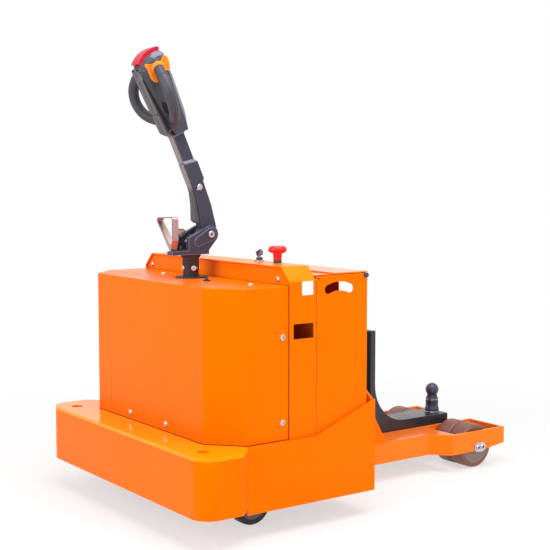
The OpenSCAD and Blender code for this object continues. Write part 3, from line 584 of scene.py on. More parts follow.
# %% Write the helper that finishes a piece
def make_piece(name, bm, body, slot, paint=None, bevel=0.0, segments=2, smooth=32):
    """Turns built faces into a finished piece that rides on a body."""
    bmesh.ops.recalc_face_normals(bm, faces=bm.faces)
    data = bpy.data.meshes.new(name)
    bm.to_mesh(data)
    bm.free()
    data.shade_smooth()
    data.set_sharp_from_angle(angle=radians(smooth))
    data.materials.append(finishes[paint or slot])
    obj = bpy.data.objects.new(name, data)
    scene.collection.objects.link(obj)
    if bevel:
        soften(obj, bevel, segments)
    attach(obj, body)
    print(name, "faces:", len(data.polygons))
    return obj


# %% [markdown]
# ## Cover screws
#
# Button-head screws with a cross slot hold the sheet covers to the frame. A
# screw head is a short rim, a domed shoulder and a slot that goes down into
# it. They are bright zinc, so each one catches a small highlight.

# %% Screw the covers on
BODY_HALF, HOOD_HALF = 437.0, 433.0
CONSOLE_PANEL_X, HOOD_FRONT_X, HOOD_TOP_Z = 388.0, 641.0, 747.0


def dome_screw(bm, place, size):
    """A button-head screw with a cross slot."""
    turned(bm, place, [
        (size, -0.4), (size, 0.14 * size), (0.93 * size, 0.32 * size), (0.74 * size, 0.46 * size),
        (0.5 * size, 0.54 * size), (0.46 * size, 0.54 * size, "cross"),
        (0.36 * size, 0.2 * size, "cross"),
    ])


bm = bmesh.new()
for side in SIDES:
    for height in (595, 336):
        dome_screw(bm, on_flank(422, HOOD_HALF, height, side), 9.6)
    dome_screw(bm, facing((HOOD_FRONT_X, side * 114, 303), FRONT), 9.6)
    dome_screw(bm, facing((CONSOLE_PANEL_X, side * 384 - 20, 763), FRONT), 8.8)
for x, y in ((469, -185), (460, 322)):
    dome_screw(bm, facing((x, y, HOOD_TOP_Z), UP), 8.4)
make_piece("cover_screws", bm, "chassis", "zinc")

bm = bmesh.new()
for side in SIDES:
    dome_screw(bm, on_flank(290, BODY_HALF, 765, side), 3.6)
    dome_screw(bm, on_flank(102, BODY_HALF + 6, 767, side), 7.4)
make_piece("lid_side_screws", bm, "chassis", "black_cast", smooth=50)

# %% [markdown]
# ## Seams and the blank label
#
# Where two covers meet, a thin dark line shows: the shade in the gap between
# them. A narrow dark cord along each joint paints that shade, so the line
# shows from every side, and the covers' own meshes stay whole.

# %% Lay the seams
# A dark orange brown that paints the shade in the gaps between covers.
finish("seam_gap_shade", (84, 30, 12), (66, 24, 12), (0.6, 0.75), gloss=0.2, grain=800, depth=0.1)
HOOD_FOOT_Z = 280.6
HOOD_FOOT = [
    (399, -433.3), (549, -433.3), (641.3, -335.2), (641.3, 335.2), (549, 433.3), (399, 433.3),
]
bm = bmesh.new()
swept(bm, WORLD, [(x, y, HOOD_FOOT_Z) for x, y in HOOD_FOOT], 1.1)
for side in SIDES:
    swept(bm, WORLD, [(398.4, side * 433.6, 282), (398.4, side * 433.6, 746)], 1.3)
    swept(bm, WORLD, [(296.6, side * 437.0, 282), (296.6, side * 437.0, 756)], 0.5)
    swept(bm, WORLD, [(104, side * 437.3, 774.6), (296, side * 437.3, 774.6)], 0.75)
make_piece("cover_seams", bm, "chassis", "black_plastic", "seam_gap_shade", smooth=60)

# %% [markdown]
# The white label on the console is a thin film with rounded corners. It stays
# blank, because the part carries no signs.

# %% Stick on the label
finish("blank_film", (240, 238, 244), (232, 230, 238), (0.3, 0.4), gloss=0.4, grain=1200)


def rounded_outline(width, height, corner, steps=5):
    """An outline with rounded corners about the middle."""
    points = []
    for quarter, (sx, sy) in enumerate(((1, 1), (-1, 1), (-1, -1), (1, -1))):
        for i in range(steps + 1):
            angle = pi / 2 * (quarter + i / steps)
            points.append((sx * (width / 2 - corner) + corner * cos(angle),
                           sy * (height / 2 - corner) + corner * sin(angle)))
    return points


bm = bmesh.new()
plate(bm, on_flank(330.6, BODY_HALF, 738, 1), rounded_outline(42, 42, 3), 0.35)
make_piece("blank_label", bm, "chassis", "zinc", "blank_film")

# %% [markdown]
# ## Emergency stop and key
#
# The red mushroom is turned plastic and comes from the CAD. Its black collar
# is turned here, with fine ribs: rings that step in and out.

# %% Rib the collar of the stop
CONSOLE_TOP_Z = 803.0
STOP, KEY = (318, 264), (318, 165)

bm = bmesh.new()
ribs = [(12.6 + 0.8 * (i % 2), 2.2 + 0.9 * i) for i in range(8)]
turned(bm, Matrix.Translation((*STOP, CONSOLE_TOP_Z)),
       [(13.4, -0.2), (13.4, 1.5), *ribs, (12.4, 10)], 40)
collar = make_piece("stop_collar", bm, "chassis", "black_plastic", smooth=50)
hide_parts("stop_base")

# %% [markdown]
# The key lock has a hexagon nut under it, and the key's bow is a black
# moulding over the steel blade, with a small ring through it.

# %% Put the key in its lock
KEY_LEAN = (0.45, 0, 1)
lock = Matrix.Translation((*KEY, CONSOLE_TOP_Z))
bow = facing((KEY[0], KEY[1] - 3, CONSOLE_TOP_Z + 27), LEFT, KEY_LEAN)

bm = bmesh.new()
turned(bm, lock, [
    (15.5, 0), (15.5, 2), (14.4, 3), (10.4, 3), (10.4, 11), (9.2, 13), (3, 13.4),
], 40)
plate(bm, bow, rounded_outline(23, 19, 4), 6)
key_bow = make_piece("key_bow", bm, "chassis", "black_plastic", bevel=0.8)
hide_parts("key_switch")

bm = bmesh.new()
turned(bm, lock, [
    (17.5, 0), (17.5, 0.9), (14.6, 1), (14.6, 3.2, "hex"), (14.2, 4.2, "hex"), (11, 4.4),
    (10.5, 4.4),
], 48)
blade = facing((KEY[0], KEY[1] - 1.1, CONSOLE_TOP_Z + 17), LEFT, (0.25, 0, 1))
plate(bm, blade, rounded_outline(9, 12, 1), 2.2)
swept(bm, bow @ Matrix.Translation((0, 0, 6.3)),
      [(-9, -6, 0), (-3, -2, 0.4), (3, 2, 0.4), (9, 6, 0)], 1.1)
key_ring = facing((KEY[0] - 9, KEY[1], CONSOLE_TOP_Z + 30), (0.2, 0.6, 1))
swept(bm, key_ring, [(x, y, 0) for x, y in around(28, 9)], 0.8, closed=True)
make_piece("key_lock_nut", bm, "chassis", "zinc")

# %% [markdown]
# ## Column and pivot
#
# The steering column ends in a sleeve that four screws lock to the shaft
# inside it, evenly round a circle. Each has a small tab beside its head.

# %% Screw the column
COLUMN_X, COLUMN_SCREW_Z, SLEEVE_R = 476.0, 779, 25.7


def flat_screw(bm, place, size):
    """A wide, flat screw head with a chamfered rim and a cross slot."""
    turned(bm, place, [
        (size, -0.5), (size, 1.5), (0.86 * size, 2.6), (0.5 * size, 2.8),
        (0.46 * size, 2.8, "cross"), (0.4 * size, 1.0, "cross"),
    ], 40)


bm = bmesh.new()
middle = Vector((COLUMN_X, 0, COLUMN_SCREW_Z))
for x, y in around(4, 1, 80):
    outward = Vector((x, y, 0))
    flat_screw(bm, facing(middle + SLEEVE_R * outward, outward), 8.4)
    tab = facing(middle + (SLEEVE_R + 0.7) * outward, outward) @ Matrix.Translation((10.5, 0, 0))
    plate(bm, tab, rounded_outline(5, 2.6, 1), 1.4)
make_piece("column_screws", bm, "steering", "zinc", "screw_zinc")

# %% [markdown]
# The tiller leans forward at its pivot and a little more at its head, so the
# arm, the tube and the head each get a frame of their own. The pivot pin gets
# thick washers with a dark socket, and a cross screw sits high on the arm.

# %% Screw the pivot and the arm
PIVOT_X, PIVOT_Z = 424.0, 888.0
ARM_LEAN, HEAD_LEAN = radians(15), radians(24)
ARM = Matrix.Translation((PIVOT_X, 0, PIVOT_Z)) @ Matrix.Rotation(ARM_LEAN, 4, "Y")
TUBE = ARM @ Matrix.Translation((0, 0, 232)) @ Matrix.Rotation(HEAD_LEAN - ARM_LEAN, 4, "Y")
HEAD = TUBE @ Matrix.Translation((0, 0, 100))

washers, sockets, screws = bmesh.new(), bmesh.new(), bmesh.new()
for side in SIDES:
    turned(washers, on_flank(PIVOT_X, 45.0, PIVOT_Z, side), [
        (11.2, 0), (11.2, 2.6), (10.2, 3.6), (4.4, 3.6), (3.9, 3.4, "hex"), (3.9, 3.1, "hex"),
    ], 48)
    turned(sockets, on_flank(PIVOT_X, 48.1, PIVOT_Z, side),
           [(3.9, -0.2, "hex"), (3.9, 0.6, "hex")], 24)
    screw = on_flank(451, 18, 1040.5, side)
    flat_screw(screws, screw, 10)
    plate(screws, screw @ Matrix.Translation((-side * 9, -8, 0)), rounded_outline(6, 3.2, 1), 1.5)
make_piece("pivot_washers", washers, "tiller", "zinc")
make_piece("pivot_sockets", sockets, "tiller", "black_plastic")
make_piece("arm_screws", screws, "tiller", "zinc")

# %% [markdown]
# The upper tube is thinner than the casting that holds it. A small collar with
# a sloping top closes the step, and because it faces up, it shines lighter
# than the rest of the arm.

# %% Close the step between casting and tube
finish("light_cast", (136, 134, 152), (122, 120, 138), (0.35, 0.5), grain=520, depth=0.1,
       edge=(170, 168, 184))
STEP_RINGS = [
    # rear x, rear z, front x, front z, half width
    (-28.4, -0.5, 20.4, 8.4, 17.9), (-28.2, 2.6, 20.6, 11.4, 17.9),
    (-21.0, 11.0, 20.6, 18.6, 15.9), (-20.3, 12.4, 20.2, 19.8, 15.3),
]
bm = bmesh.new()
lofted(bm, TUBE, [
    [(x0, -h, z0), (x1, -h, z1), (x1, h, z1), (x0, h, z0)] for x0, z0, x1, z1, h in STEP_RINGS
])
make_piece("arm_step_collar", bm, "tiller", "black_cast", "light_cast", bevel=0.8)

# %% [markdown]
# ## Inside the clevis
#
# Between the ears sits what brings the tiller back upright. A curved dark
# strap, bent over the gap, follows a smooth path through a few points.

# %% Bend the strap
def smooth_path(points, steps=6):
    """A soft curve through points, as a list that is dense enough to sweep along."""
    made = []
    last = len(points) - 1
    for i in range(last):
        p0, p1, p2, p3 = (Vector(points[min(max(i + k, 0), last)]) for k in (-1, 0, 1, 2))
        for s in range(steps):
            t = s / steps
            made.append(0.5 * ((2 * p1) + (p2 - p0) * t + (2 * p0 - 5 * p1 + 4 * p2 - p3) * t ** 2
                               + (3 * p1 - p0 - 3 * p2 + p3) * t ** 3))
    made.append(Vector(points[-1]))
    return made


def strap(bm, path, half_width, thickness):
    """A flat strap across Y that follows a path in the XZ plane."""
    layers = []
    for i, (x, z) in enumerate(path):
        before, after = path[max(i - 1, 0)], path[min(i + 1, len(path) - 1)]
        along = (after - before).normalized()
        out_x, out_z = x + along.y * thickness, z - along.x * thickness
        layers.append([(x, -half_width, z), (x, half_width, z), (out_x, half_width, out_z),
                       (out_x, -half_width, out_z)])
    lofted(bm, WORLD, layers)


bm = bmesh.new()
strap(bm, smooth_path([(521, 838), (525, 850), (521, 867), (508, 880), (493, 886)]), 12, 4)
make_piece("clevis_strap", bm, "steering", "black_cast", "rail_black", bevel=0.6)

# %% [markdown]
# On the far ear sits a round metal cover, which shows through the clevis as a
# crescent. Its pink copper colour is a painted reflection of the orange paint
# around it. Part of its rim has a black grip, whose ribs come from an outer
# radius that steps in and out along the arc.

# %% Put the round cover on the far ear
# A pink copper colour that paints the orange reflected in the metal cover.
finish("cover_orange_reflection", (234, 160, 150), (220, 146, 136), (0.35, 0.5), gloss=0.45, grain=420,
       depth=0.05, edge=(170, 100, 88))
GRIP_STEPS, GRIP_FROM, GRIP_ARC = 48, 30, 120
sensor = facing((480, -45, 877), (0, -1, 0))
bm = bmesh.new()
turned(bm, sensor, [(24.4, -0.5), (24.4, 11), (22.6, 12.6), (8, 13), (7.4, 12), (6.8, 13)], 48)
make_piece("sensor_cover", bm, "steering", "zinc", "cover_orange_reflection", smooth=40)

bm = bmesh.new()
layers = []
for i in range(GRIP_STEPS + 1):
    angle = radians(GRIP_FROM + GRIP_ARC * i / GRIP_STEPS) - pi / 2
    far = 26.2 + 1.0 * (i // 2 % 2)
    layers.append([(r * sin(angle), r * cos(angle), height)
                   for r, height in ((24.2, 5.5), (far, 5.5), (far, 11), (24.2, 11))])
lofted(bm, sensor, layers)
make_piece("sensor_grip", bm, "steering", "black_plastic", smooth=30)

# %% [markdown]
# A ribbed rubber stop, a cast boss with a bright set screw, and a coil spring
# on each side of the arm's foot fill the rest. A spring is a round wire swept
# along a helix, which stays round and even in every turn.

# %% Fill the clevis
CLEVIS_TOP_Z = 837.0
COIL_R, COIL_RISE, COIL_TURNS, COIL_STEPS = 5.4, 1.1, 7, 14

bm = bmesh.new()
flat_screw(bm, facing((505, 20, 868), (1, 0.25, 0.5)), 4.6)
make_piece("clevis_screw", bm, "steering", "zinc")

bm = bmesh.new()
ribs = [(5.2 + 0.8 * (i % 2), 1 + 1.6 * i) for i in range(13)]
turned(bm, facing((512, -11, 883), LEFT), [(1, 0), *ribs, (1, 21.4)], 24)
plate(bm, facing((519, 8, 845), FRONT), rounded_outline(17, 13, 3), 7)
make_piece("clevis_rubber", bm, "steering", "black_plastic", bevel=0.4)

bm = bmesh.new()
plate(bm, facing((489, 20, CLEVIS_TOP_Z), UP), rounded_outline(15, 26, 4), 34)
make_piece("clevis_boss", bm, "steering", "black_cast", bevel=1.2)

bm = bmesh.new()
turns = [2 * pi * i / COIL_STEPS for i in range(COIL_TURNS * COIL_STEPS)]
coil = [(COIL_R * cos(a), COIL_R * sin(a), COIL_RISE * a) for a in turns]
for side in SIDES:
    swept(bm, facing((462, side * 22.5, CLEVIS_TOP_Z), UP), coil, 1.3, 6)
make_piece("return_springs", bm, "steering", "bright_steel", smooth=60)

# %% [markdown]
# The pull loop is a bent flat bar. A screw through its foot holds it to the
# clevis plate's tongue, with a spacer inside the loop.

# %% Screw the pull loop down
bm = bmesh.new()
turned(bm, Matrix.Translation((561, 32, 846)), [
    (8, 0), (8, 3), (6.6, 4.6), (6.2, 4.6, "hex"), (6.2, 9.5, "hex"), (5.2, 10.4), (2, 10.6),
], 30)
swept(bm, WORLD, [(553, 32, 851), (569, 32, 851)], 2.4)
make_piece("pull_loop_screw", bm, "steering", "zinc")

# %% [markdown]
# ## The control head
#
# The head is a moulding of two shells. Seen from the side it follows one
# outline; towards its sides the outline shrinks, which makes the soft
# shoulders. So it can be lofted: the same outline is repeated across the
# width, each time drawn in a little more.

# %% Draw the head's outline
HEAD_LEN, HEAD_HALF, HEAD_BAND = 275.0, 38.0, 22.0
CROWN_X, CROWN_Z, CROWN_R = -18.0, HEAD_LEN - 84.0, 84.0
SHOULDER_INSET = 16


def head_outline(inset):
    """The head's side view in its own frame, drawn in by an amount."""
    crown = []
    for i in range(9):
        angle = radians(44 - 58 * i / 8)
        crown.append((CROWN_X + (CROWN_R - inset) * sin(angle),
                      CROWN_Z + (CROWN_R - inset) * cos(angle)))
    return crown + [
        (inset - 51, HEAD_LEN - 17 - inset / 2), (inset - 51, 204), (inset - 47, 58),
        (inset * 0.4 - 33, 11), (27 - inset * 0.4, 11), (43 - inset * 0.8, 27 + inset / 2),
        (50 - inset, 120), (57.5 - inset, HEAD_LEN - 37 - inset / 2),
    ]


def inset_at(y):
    """How far the outline is drawn in at a distance y: flat, then a soft shoulder."""
    share = min(max((abs(y) - HEAD_BAND) / (HEAD_HALF - HEAD_BAND), 0), 1)
    return SHOULDER_INSET * (0.7 * share + 0.3 * (1 - sqrt(max(1 - share * share, 0))))


def head_skin(index, y):
    """A point of the head's skin: index runs along the outline, y across."""
    outline = head_outline(inset_at(y))
    low, part = int(index) % len(outline), index - int(index)
    a, b = outline[low], outline[(low + 1) % len(outline)]
    return Vector((a[0] + (b[0] - a[0]) * part, y, a[1] + (b[1] - a[1]) * part))


print("points in the outline:", len(head_outline(0)))

# %% [markdown]
# One piece can carry several finishes: each face has a number that picks one
# of the mesh's materials. The front shell is a brownish grey, and the back
# edges of the shoulders are a lighter plastic.

# %% Loft the head
finish("cover_plastic", (88, 80, 82), (78, 71, 73), (0.42, 0.56), gloss=0.45, grain=1500,
       depth=0.12, edge=(128, 120, 124))
finish("back_plastic", (116, 112, 134), (104, 101, 122), (0.34, 0.48), gloss=0.4, grain=1500,
       depth=0.10, edge=(168, 164, 182))
STATIONS = [-38, -36, -32, -27, -22, -21.2, 0, 21.2, 22, 27, 32, 36, 38]
bm = bmesh.new()
lofted(bm, HEAD, [[(x, y, z) for x, z in head_outline(inset_at(y))] for y in STATIONS])
head = make_piece("control_head", bm, "tiller", "black_plastic", bevel=2.2, segments=3, smooth=40)
for shell in ("cover_plastic", "back_plastic"):
    head.data.materials.append(finishes[shell])
to_head = HEAD.inverted()
for face in head.data.polygons:
    x, y, z = to_head @ (face.center / MM)
    on_shoulder = HEAD_BAND < abs(y) < HEAD_HALF - 0.5
    if x > 20 and z < 250 and abs(y) < HEAD_BAND:
        face.material_index = 1
    elif on_shoulder and (x < -30 or (z > 245 and x < -2)):
        face.material_index = 2
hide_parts("head_housing")

# %% [markdown]
# The joint between the shells opens downwards into a gap that lies in shade.
# A black strip that follows the skin, a fraction of a millimetre above it,
# paints that shade. The same way paints the shade in the window recess in the
# side.

# %% Draw the gap and the window
# Deep black paints the shade in the head's gap and its window recess; the head's small screws are
# this dark too.
finish("deep_black", (26, 24, 26), (20, 18, 20), (0.6, 0.8), gloss=0.25, depth=0.1)
GAP_LIFT, WINDOW_LIFT = Vector((0.55, 0.55, 0)), 0.5
GAP_ROWS = [
    # outline index, inner edge y, outer edge y
    (15.9, 22.6, 24.4), (15.55, 23.6, 28.0), (15.2, 25.0, 31.5), (14.8, 26.5, 35.0),
    (14.4, 27.5, 37.4), (14.05, 28.0, 37.8), (13.6, 28.5, 37.9), (13.05, 29.0, 37.9),
]
WINDOW = [(29, 126), (17, 122), (9, 101), (13, 84), (22, 82), (31, 92), (32, 110)]
bm = bmesh.new()
for side in SIDES:
    rows = []
    for index, *edges in GAP_ROWS:
        points = [head_skin(index, y) + GAP_LIFT for y in edges]
        rows.append(loop_of(bm, HEAD, [(p.x, side * p.y, p.z) for p in points]))
    for a, b in zip(rows, rows[1:]):
        bm.faces.new((a[0], a[1], b[1], b[0]))
    window_y = side * (HEAD_HALF + WINDOW_LIFT)
    bm.faces.new(loop_of(bm, HEAD, [(x, window_y, z) for x, z in WINDOW]))
make_piece("head_gap_and_window", bm, "tiller", "black_plastic", "deep_black")

# %% [markdown]
# The front shell has a flat button for the thumb and four small dark screws.
# Each gets a frame that is tilted as the shell is under it.

# %% Add the button and its screws
bm = bmesh.new()
plate(bm, HEAD @ facing((54.3, 12, 218), (1, 0, 0.06)), rounded_outline(30, 23, 3), 2.2)
make_piece("head_button", bm, "tiller", "grey_cast", bevel=0.8)

bm = bmesh.new()
for x, y, z, slope in ((57, 15, 242, 0.1), (47.8, 16, 92, -0.07)):
    for side in SIDES:
        turned(bm, HEAD @ facing((x, -side * y, z), (1, 0, slope)), [
            (3.8, -1.5), (3.8, 0.5), (3.1, 0.8), (2.4, 0.8, "cross"), (2, -0.3, "cross"),
        ])
make_piece("head_screws", bm, "tiller", "black_cast", "deep_black")

# %% [markdown]
# A spine of lighter plastic closes the back of the head, and a collar joins
# the head to the tube.

# %% Add the spine and the foot collar
SPINE_ROWS = [
    # x, z, half width, rise
    (-51.2, 196, 20, 0.4), (-50.8, 188, 23, 2.4), (-47.4, 66, 23, 2.4), (-45.5, 60, 20, 0.4),
]
bm = bmesh.new()
lofted(bm, HEAD, [
    [(x - rise, 3 - half, z), (x - rise, half - 3, z), (x + 1.5, half, z), (x + 6, half, z),
     (x + 6, -half, z), (x + 1.5, -half, z)]
    for x, z, half, rise in SPINE_ROWS
])
make_piece("head_spine", bm, "tiller", "black_plastic", "back_plastic", bevel=0.8)

bm = bmesh.new()
lofted(bm, HEAD, [
    [(x, y, z) for x, y in rounded_outline(48 + grow, 36 + grow, 5)]
    for z, grow in ((4, 0), (8, 3.2), (13, 3.2))
])
make_piece("head_foot_collar", bm, "tiller", "black_plastic", "back_plastic", smooth=50)

# %% [markdown]
# ## Throttle wings
#
# The two orange wings are dished for the thumbs: a raised rim runs round each,
# and their front tips curl in towards the head. The wing's outline is smoothed
# and repeated in layers, each a share of the way to the hub and at its own
# distance, which gives the rim and the dish in one closed skin.

# %% Dish the wings
WING = [
    (36, 249), (28, 250), (14, 245), (-4, 250), (-18, 243), (-36, 256), (-46, 241), (-37, 205),
    (-22, 211), (-4, 205), (22, 187), (38, 212),
]
HUB = Vector((-1, 229))
CURL_FROM, CURL_LENGTH, CURL_IN = 16, 20, 9
WING_LAYERS = [
    # share of the way from the hub to the rim, distance from the head's middle
    (0.86, 38.2), (0.97, 40.0), (1.0, 43.5), (0.97, 47.0), (0.9, 47.6), (0.72, 44.6),
    (0.5, 43.4), (0.3, 45.0),
]


def wing_point(spot, out, side):
    """A point of a wing in the head's frame; out is its distance before the curl."""
    curl = CURL_IN * min(max((spot.x - CURL_FROM) / CURL_LENGTH, 0), 1)
    return spot.x, side * (out - curl), spot.y


rim = smooth_path(WING[-2:] + WING + WING[:2], 4)[8:-9]
bm = bmesh.new()
for side in SIDES:
    lofted(bm, HEAD, [
        [wing_point(HUB + (p - HUB) * share, out, side) for p in rim] for share, out in WING_LAYERS
    ])
wings = make_piece("throttle_wings", bm, "tiller", "orange_plastic", smooth=60)
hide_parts("throttle_paddles")

# %% [markdown]
# A hub ring sits where each handle's bent tube passes through its wing. It is
# turned about that tube's own line, so it fits round it from every side.

# %% Ring the handles
TUBE_Y, TUBE_Z, TUBE_REACH, TUBE_BEND, TUBE_SPLAY = 45, -7, 76, radians(35), -22
HUB_WAY = 44

bm = bmesh.new()
handles = HEAD @ Matrix.Translation((-12, 0, HEAD_LEN - 129)) @ Matrix.Rotation(
    radians(-4), 4, "Y")
for side in SIDES:
    plane = handles @ Matrix.Rotation(radians(TUBE_SPLAY * side), 4, "Z")
    bend = Vector((0, side * (TUBE_Y + TUBE_REACH * sin(TUBE_BEND)),
                   TUBE_Z + TUBE_REACH * cos(TUBE_BEND)))
    inward = Vector((0, -side * cos(TUBE_BEND), sin(TUBE_BEND)))
    hub = plane @ facing(bend + HUB_WAY * inward, inward, FRONT)
    turned(bm, hub, [
        (17.2, -7), (21.0, -5.4), (22.4, -1), (22.4, 3), (20.6, 6.6), (17.2, 7.2),
    ], 36, closed=True)
make_piece("wing_hubs", bm, "tiller", "orange_plastic", smooth=70)

# %% [markdown]
# ## Rear rollers
#
# Each leg rolls on two narrow rollers side by side. A roller is a steel core
# with a polyurethane tread cast on it. The tread has rounded shoulders, and
# the core shows as a grey face with a ring and a bearing in its middle. Both
# faces are the same, so only half of each profile is written down.

# %% Turn the rollers
finish("core_steel", (142, 126, 116), (124, 110, 100), (0.4, 0.55), gloss=0.4, grain=420,
       depth=0.12, edge=(168, 154, 144))
ROLLER_X, ROLLER_R, ROLLER_HALF, ROLLER_SHIFT, LEG_MID_Y = -620.0, 80.0, 34.5, 36.0, 150.0


def both_faces(rings, between=()):
    """A wheel's profile from the rings of its lower half, and what lies between the halves."""
    return [*rings, *between, *((size, -height) for size, height in rings[::-1])]


TREAD = both_faces([
    (size, depth - ROLLER_HALF)
    for size, depth in ((62, 0), (73, 0), (77.5, 2), (79.6, 6), (80, 12))
])
CORE = both_faces([
    (size, depth - ROLLER_HALF)
    for size, depth in ((12.6, 1), (24, 1), (24, 4), (30, 4), (34, 2.5), (58, 1.5), (62.5, 0.4))
])
for name, side in (("left", 1), ("right", -1)):
    treads, cores = bmesh.new(), bmesh.new()
    for part in (-1, 1):
        middle = facing((ROLLER_X, side * LEG_MID_Y + part * ROLLER_SHIFT, ROLLER_R), LEFT)
        turned(treads, middle, TREAD, 72, closed=True)
        turned(cores, middle, CORE, 60, closed=True)
    body = f"rear_rollers_{name}"
    tread = make_piece(f"roller_treads_{name}", treads, body, "roller_tread", smooth=40)
    make_piece(f"roller_cores_{name}", cores, body, "roller_tread", "core_steel", smooth=35)
    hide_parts(f"rollers_{name}")

# %% [markdown]
# Keeper plates hold the roller axles from outside, each with two socket-head
# screws. The socket is a hexagon that goes down into the head, with a dark
# bottom.

# %% Bolt the keepers
KEEPER_BOLT_SHIFT = 11.5
bolts, sockets = bmesh.new(), bmesh.new()
for side in SIDES:
    for shift in SIDES:
        bolt_x = ROLLER_X + shift * KEEPER_BOLT_SHIFT
        turned(bolts, on_flank(bolt_x, 244, ROLLER_R, side), [
            (9.6, -0.3), (9.6, 3.4), (8.6, 4.6), (5.4, 4.8), (5.0, 4.8, "hex"), (4.8, 2.2, "hex"),
        ], 36)
        turned(sockets, on_flank(bolt_x, 246.3, ROLLER_R, side),
               [(4.9, -0.2, "hex"), (4.9, 0.5, "hex")], 24)
make_piece("keeper_bolts", bolts, "chassis", "zinc", smooth=40)
make_piece("keeper_sockets", sockets, "chassis", "black_plastic")

# %% [markdown]
# ## Casters and drive wheel
#
# The casters are solid rubber wheels on a steel rim, between the cheeks of a
# pressed fork. Two rings on each face show the rim's flange and the bearing
# cover. Bolts hold the axle in the fork and the fork under the deck.

# %% Dress the casters
CASTER_X, CASTER_Y, CASTER_R, CASTER_TRAIL, CASTER_TOP_Z = 492.0, 305.0, 65.0, 36, 150
RUBBER = both_faces([(46, -22), (58, -24), (62.5, -22), (64.6, -17), (65, -12)])
RIM = both_faces([(6.1, -24), (15, -24), (16, -21), (30, -20), (44, -22), (46.5, -22.6)])


def hex_bolt(bm, place, size):
    """A bolt's head on its washer; size is half its width over the flats."""
    turned(bm, place, [
        (1.75 * size, -0.3), (1.75 * size, 1.6), (1.15 * size, 1.7), (size, 1.7, "hex"),
        (size, 1.7 + 0.95 * size, "hex"), (0.94 * size, 1.7 + 1.15 * size),
        (0.5 * size, 1.7 + 1.2 * size),
    ], 36)


for name, side in (("left", 1), ("right", -1)):
    rubber, rims, nuts = bmesh.new(), bmesh.new(), bmesh.new()
    axle_x, axle_y, body = CASTER_X - CASTER_TRAIL, side * CASTER_Y, f"caster_{name}_wheel"
    hub = facing((axle_x, axle_y, CASTER_R), LEFT)
    turned(rubber, hub, RUBBER, 64, closed=True)
    turned(rims, hub, RIM, 48, closed=True)
    tyre = make_piece(f"caster_tyre_{name}", rubber, body, "caster_rubber", smooth=40)
    make_piece(f"caster_rim_{name}", rims, body, "zinc", "grey_cast", smooth=35)
    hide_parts(f"caster_wheel_{name}")
    for face in SIDES:
        hex_bolt(nuts, facing((axle_x, axle_y + face * 33, CASTER_R), (0, face, 0)), 6.5)
    for x, y in around(4, 26, 45):
        hex_bolt(nuts, facing((CASTER_X + x, axle_y + y, CASTER_TOP_Z), DOWN), 4)
    make_piece(f"caster_nuts_{name}", nuts, f"caster_{name}", "zinc", smooth=40)

# %% [markdown]
# The drive wheel has a broad tyre with rounded shoulders and a rim with a ring
# of nuts. The tread's nine fine grooves are part of the profile, so one turned
# form makes the whole tyre.

# %% Dress the drive wheel
DRIVE_R, NUT_CIRCLE = 115, 52
tread_rings = [(93, -36), (104, -37.5), (111, -35.5), (114.2, -31), (115, -26)]
grooves = []
for y in range(-20, 21, 5):
    grooves += [(115, y - 1.4), (113.2, y - 0.9), (113.2, y + 0.9), (115, y + 1.4)]

bm = bmesh.new()
wheel = facing((COLUMN_X, 0, DRIVE_R), LEFT)
turned(bm, wheel, both_faces(tread_rings, grooves), 96, closed=True)
tyre = make_piece("drive_tyre_tread", bm, "drive_wheel", "tyre_rubber", smooth=35)
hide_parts("drive_tyre")

bm = bmesh.new()
for face in SIDES:
    for x, z in around(6, NUT_CIRCLE):
        hex_bolt(bm, on_flank(COLUMN_X + x, 34.5, DRIVE_R + z, face), 6)
    turned(bm, on_flank(COLUMN_X, 34.4, DRIVE_R, face), [
        (84, 0), (88, 0), (90, 1.2), (90, 2), (84, 2),
    ], 60, closed=True)
make_piece("drive_hub_nuts", bm, "drive_wheel", "bright_steel", smooth=40)

# %% [markdown]
# ## Tow ball and mast
#
# The ball stands on a neck with two bright rings, and a nut holds it from
# below. All of them are turned about the same upright line.

# %% Finish the ball
BALL_X, BRACKET_TOP_Z, BRACKET_LOW_Z = -606.0, 176.0, 136.0
ball = Matrix.Translation((BALL_X, 0, BRACKET_TOP_Z))

bm = bmesh.new()
turned(bm, ball, [(23, 46.4), (24, 46.8), (24, 49.2), (23, 49.6)], 48, closed=True)
turned(bm, ball, [(27, 0), (29.5, 0), (29.5, 1.6), (28.5, 2.4), (27, 2.4)], 48, closed=True)
make_piece("ball_rings", bm, "hitch", "bright_steel", smooth=35)

bm = bmesh.new()
turned(bm, ball, [
    (19, 30), (24.4, 30), (24.6, 36), (24.6, 44.4), (23.4, 45.4), (23.4, 51), (22, 54),
    (20.6, 59), (19.6, 63), (18.6, 67), (14, 68),
], 48)
make_piece("ball_neck", bm, "hitch", "black_cast", "bracket_coat", smooth=40)

bm = bmesh.new()
turned(bm, facing((BALL_X, 0, BRACKET_LOW_Z), DOWN), [
    (26, -0.3), (26, 3), (19, 3.1), (18.5, 3.1, "hex"), (18.5, 17, "hex"), (16.5, 19), (11, 19),
    (10.4, 26), (9, 27),
], 48)
make_piece("ball_nut", bm, "hitch", "zinc", smooth=35)

# %% [markdown]
# The bracket slides in the mast, whose foot plate and cheeks are bolted to the
# frame. A gland closes the lift cylinder round its rod.

# %% Bolt the mast
bm = bmesh.new()
for side in SIDES:
    for height in (180, 270, 360, 425):
        for x in (-110, 40):
            hex_bolt(bm, on_flank(x, 50, height, side), 6)
    for x, height in ((-256, 88), (-172, 102), (-111, 102)):
        hex_bolt(bm, facing((x, side * 31, height), UP), 5)
make_piece("mast_bolts", bm, "chassis", "zinc", smooth=40)

bm = bmesh.new()
turned(bm, Matrix.Translation((-141.5, 0, 300)), [
    (12.4, -2), (26.8, -2), (26.8, 4), (22, 8), (17, 8), (17, 12), (12.4, 12),
], 40, closed=True)
make_piece("cylinder_gland", bm, "chassis", "zinc", smooth=35)

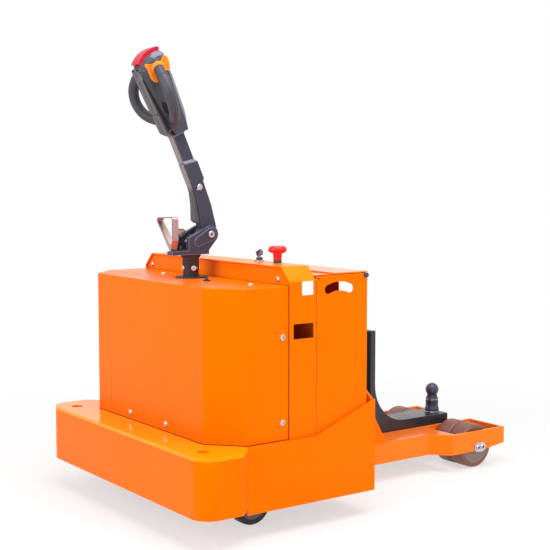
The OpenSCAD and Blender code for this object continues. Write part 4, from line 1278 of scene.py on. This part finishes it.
# %% [markdown]
# ## Welds
#
# The frame is welded from plates, and the paint covers the beads. A bead is a
# thin round section along the joint that swells and sinks every few
# millimetres, as the welder's steps leave it.

# %% Run the welds
WELD_STEP, WELD_RIPPLE = 3.2, 0.28
BEADS = [
    # start, end and radius on the left side; the right side mirrors them
    ((-216, 179.4, 141), (68, 179.4, 141), 2.4), ((-216, 168.6, 141), (68, 168.6, 141), 2.4),
    ((68.6, 179.4, 143), (68.6, 179.4, 369), 2.2), ((68.6, 62, 78), (68.6, 178, 78), 2.2),
    ((68.6, 60.6, 141), (68.6, 168, 141), 2.2), ((68.6, 50.6, 92), (68.6, 50.6, 443), 2.2),
]
bm = bmesh.new()
for side in SIDES:
    for start, end, size in BEADS:
        first, last = (Vector((x, side * y, z)) for x, y, z in (start, end))
        steps = max(int((last - first).length / WELD_STEP), 4)
        path = [first.lerp(last, i / steps) for i in range(steps + 1)]
        swept(bm, WORLD, path, size, 6, ripple=WELD_RIPPLE)
make_piece("frame_welds", bm, "chassis", "orange_paint", smooth=70)

# %% [markdown]
# ## Battery
#
# With the lid open, the battery's top shows its vent caps and the two poles
# with their cable lugs. The caps and poles are turned, and a lug is a plate.

# %% Cap the battery
BATTERY_X, BATTERY_TOP_Z, ROW_SHIFT, POLE_Y = 196, 620.0, 34, 262
caps, poles = bmesh.new(), bmesh.new()
for row in SIDES:
    x = BATTERY_X + row * ROW_SHIFT
    for y in range(-210, 211, 60):
        turned(caps, Matrix.Translation((x, y, BATTERY_TOP_Z)), [
            (14, 0), (14, 5), (12, 8), (7, 8.6), (6.4, 8.6, "hex"), (6, 6, "hex"),
        ], 24)
    turned(poles, Matrix.Translation((x, POLE_Y, BATTERY_TOP_Z)),
           [(15, 0), (15, 4), (9, 5), (8.4, 22), (7, 24)], 32)
    plate(poles, Matrix.Translation((x, POLE_Y, BATTERY_TOP_Z + 6)), rounded_outline(34, 22, 8), 5)
make_piece("vent_caps", caps, "chassis", "black_plastic", smooth=35)
make_piece("battery_poles", poles, "chassis", "bright_steel", bevel=0.5)
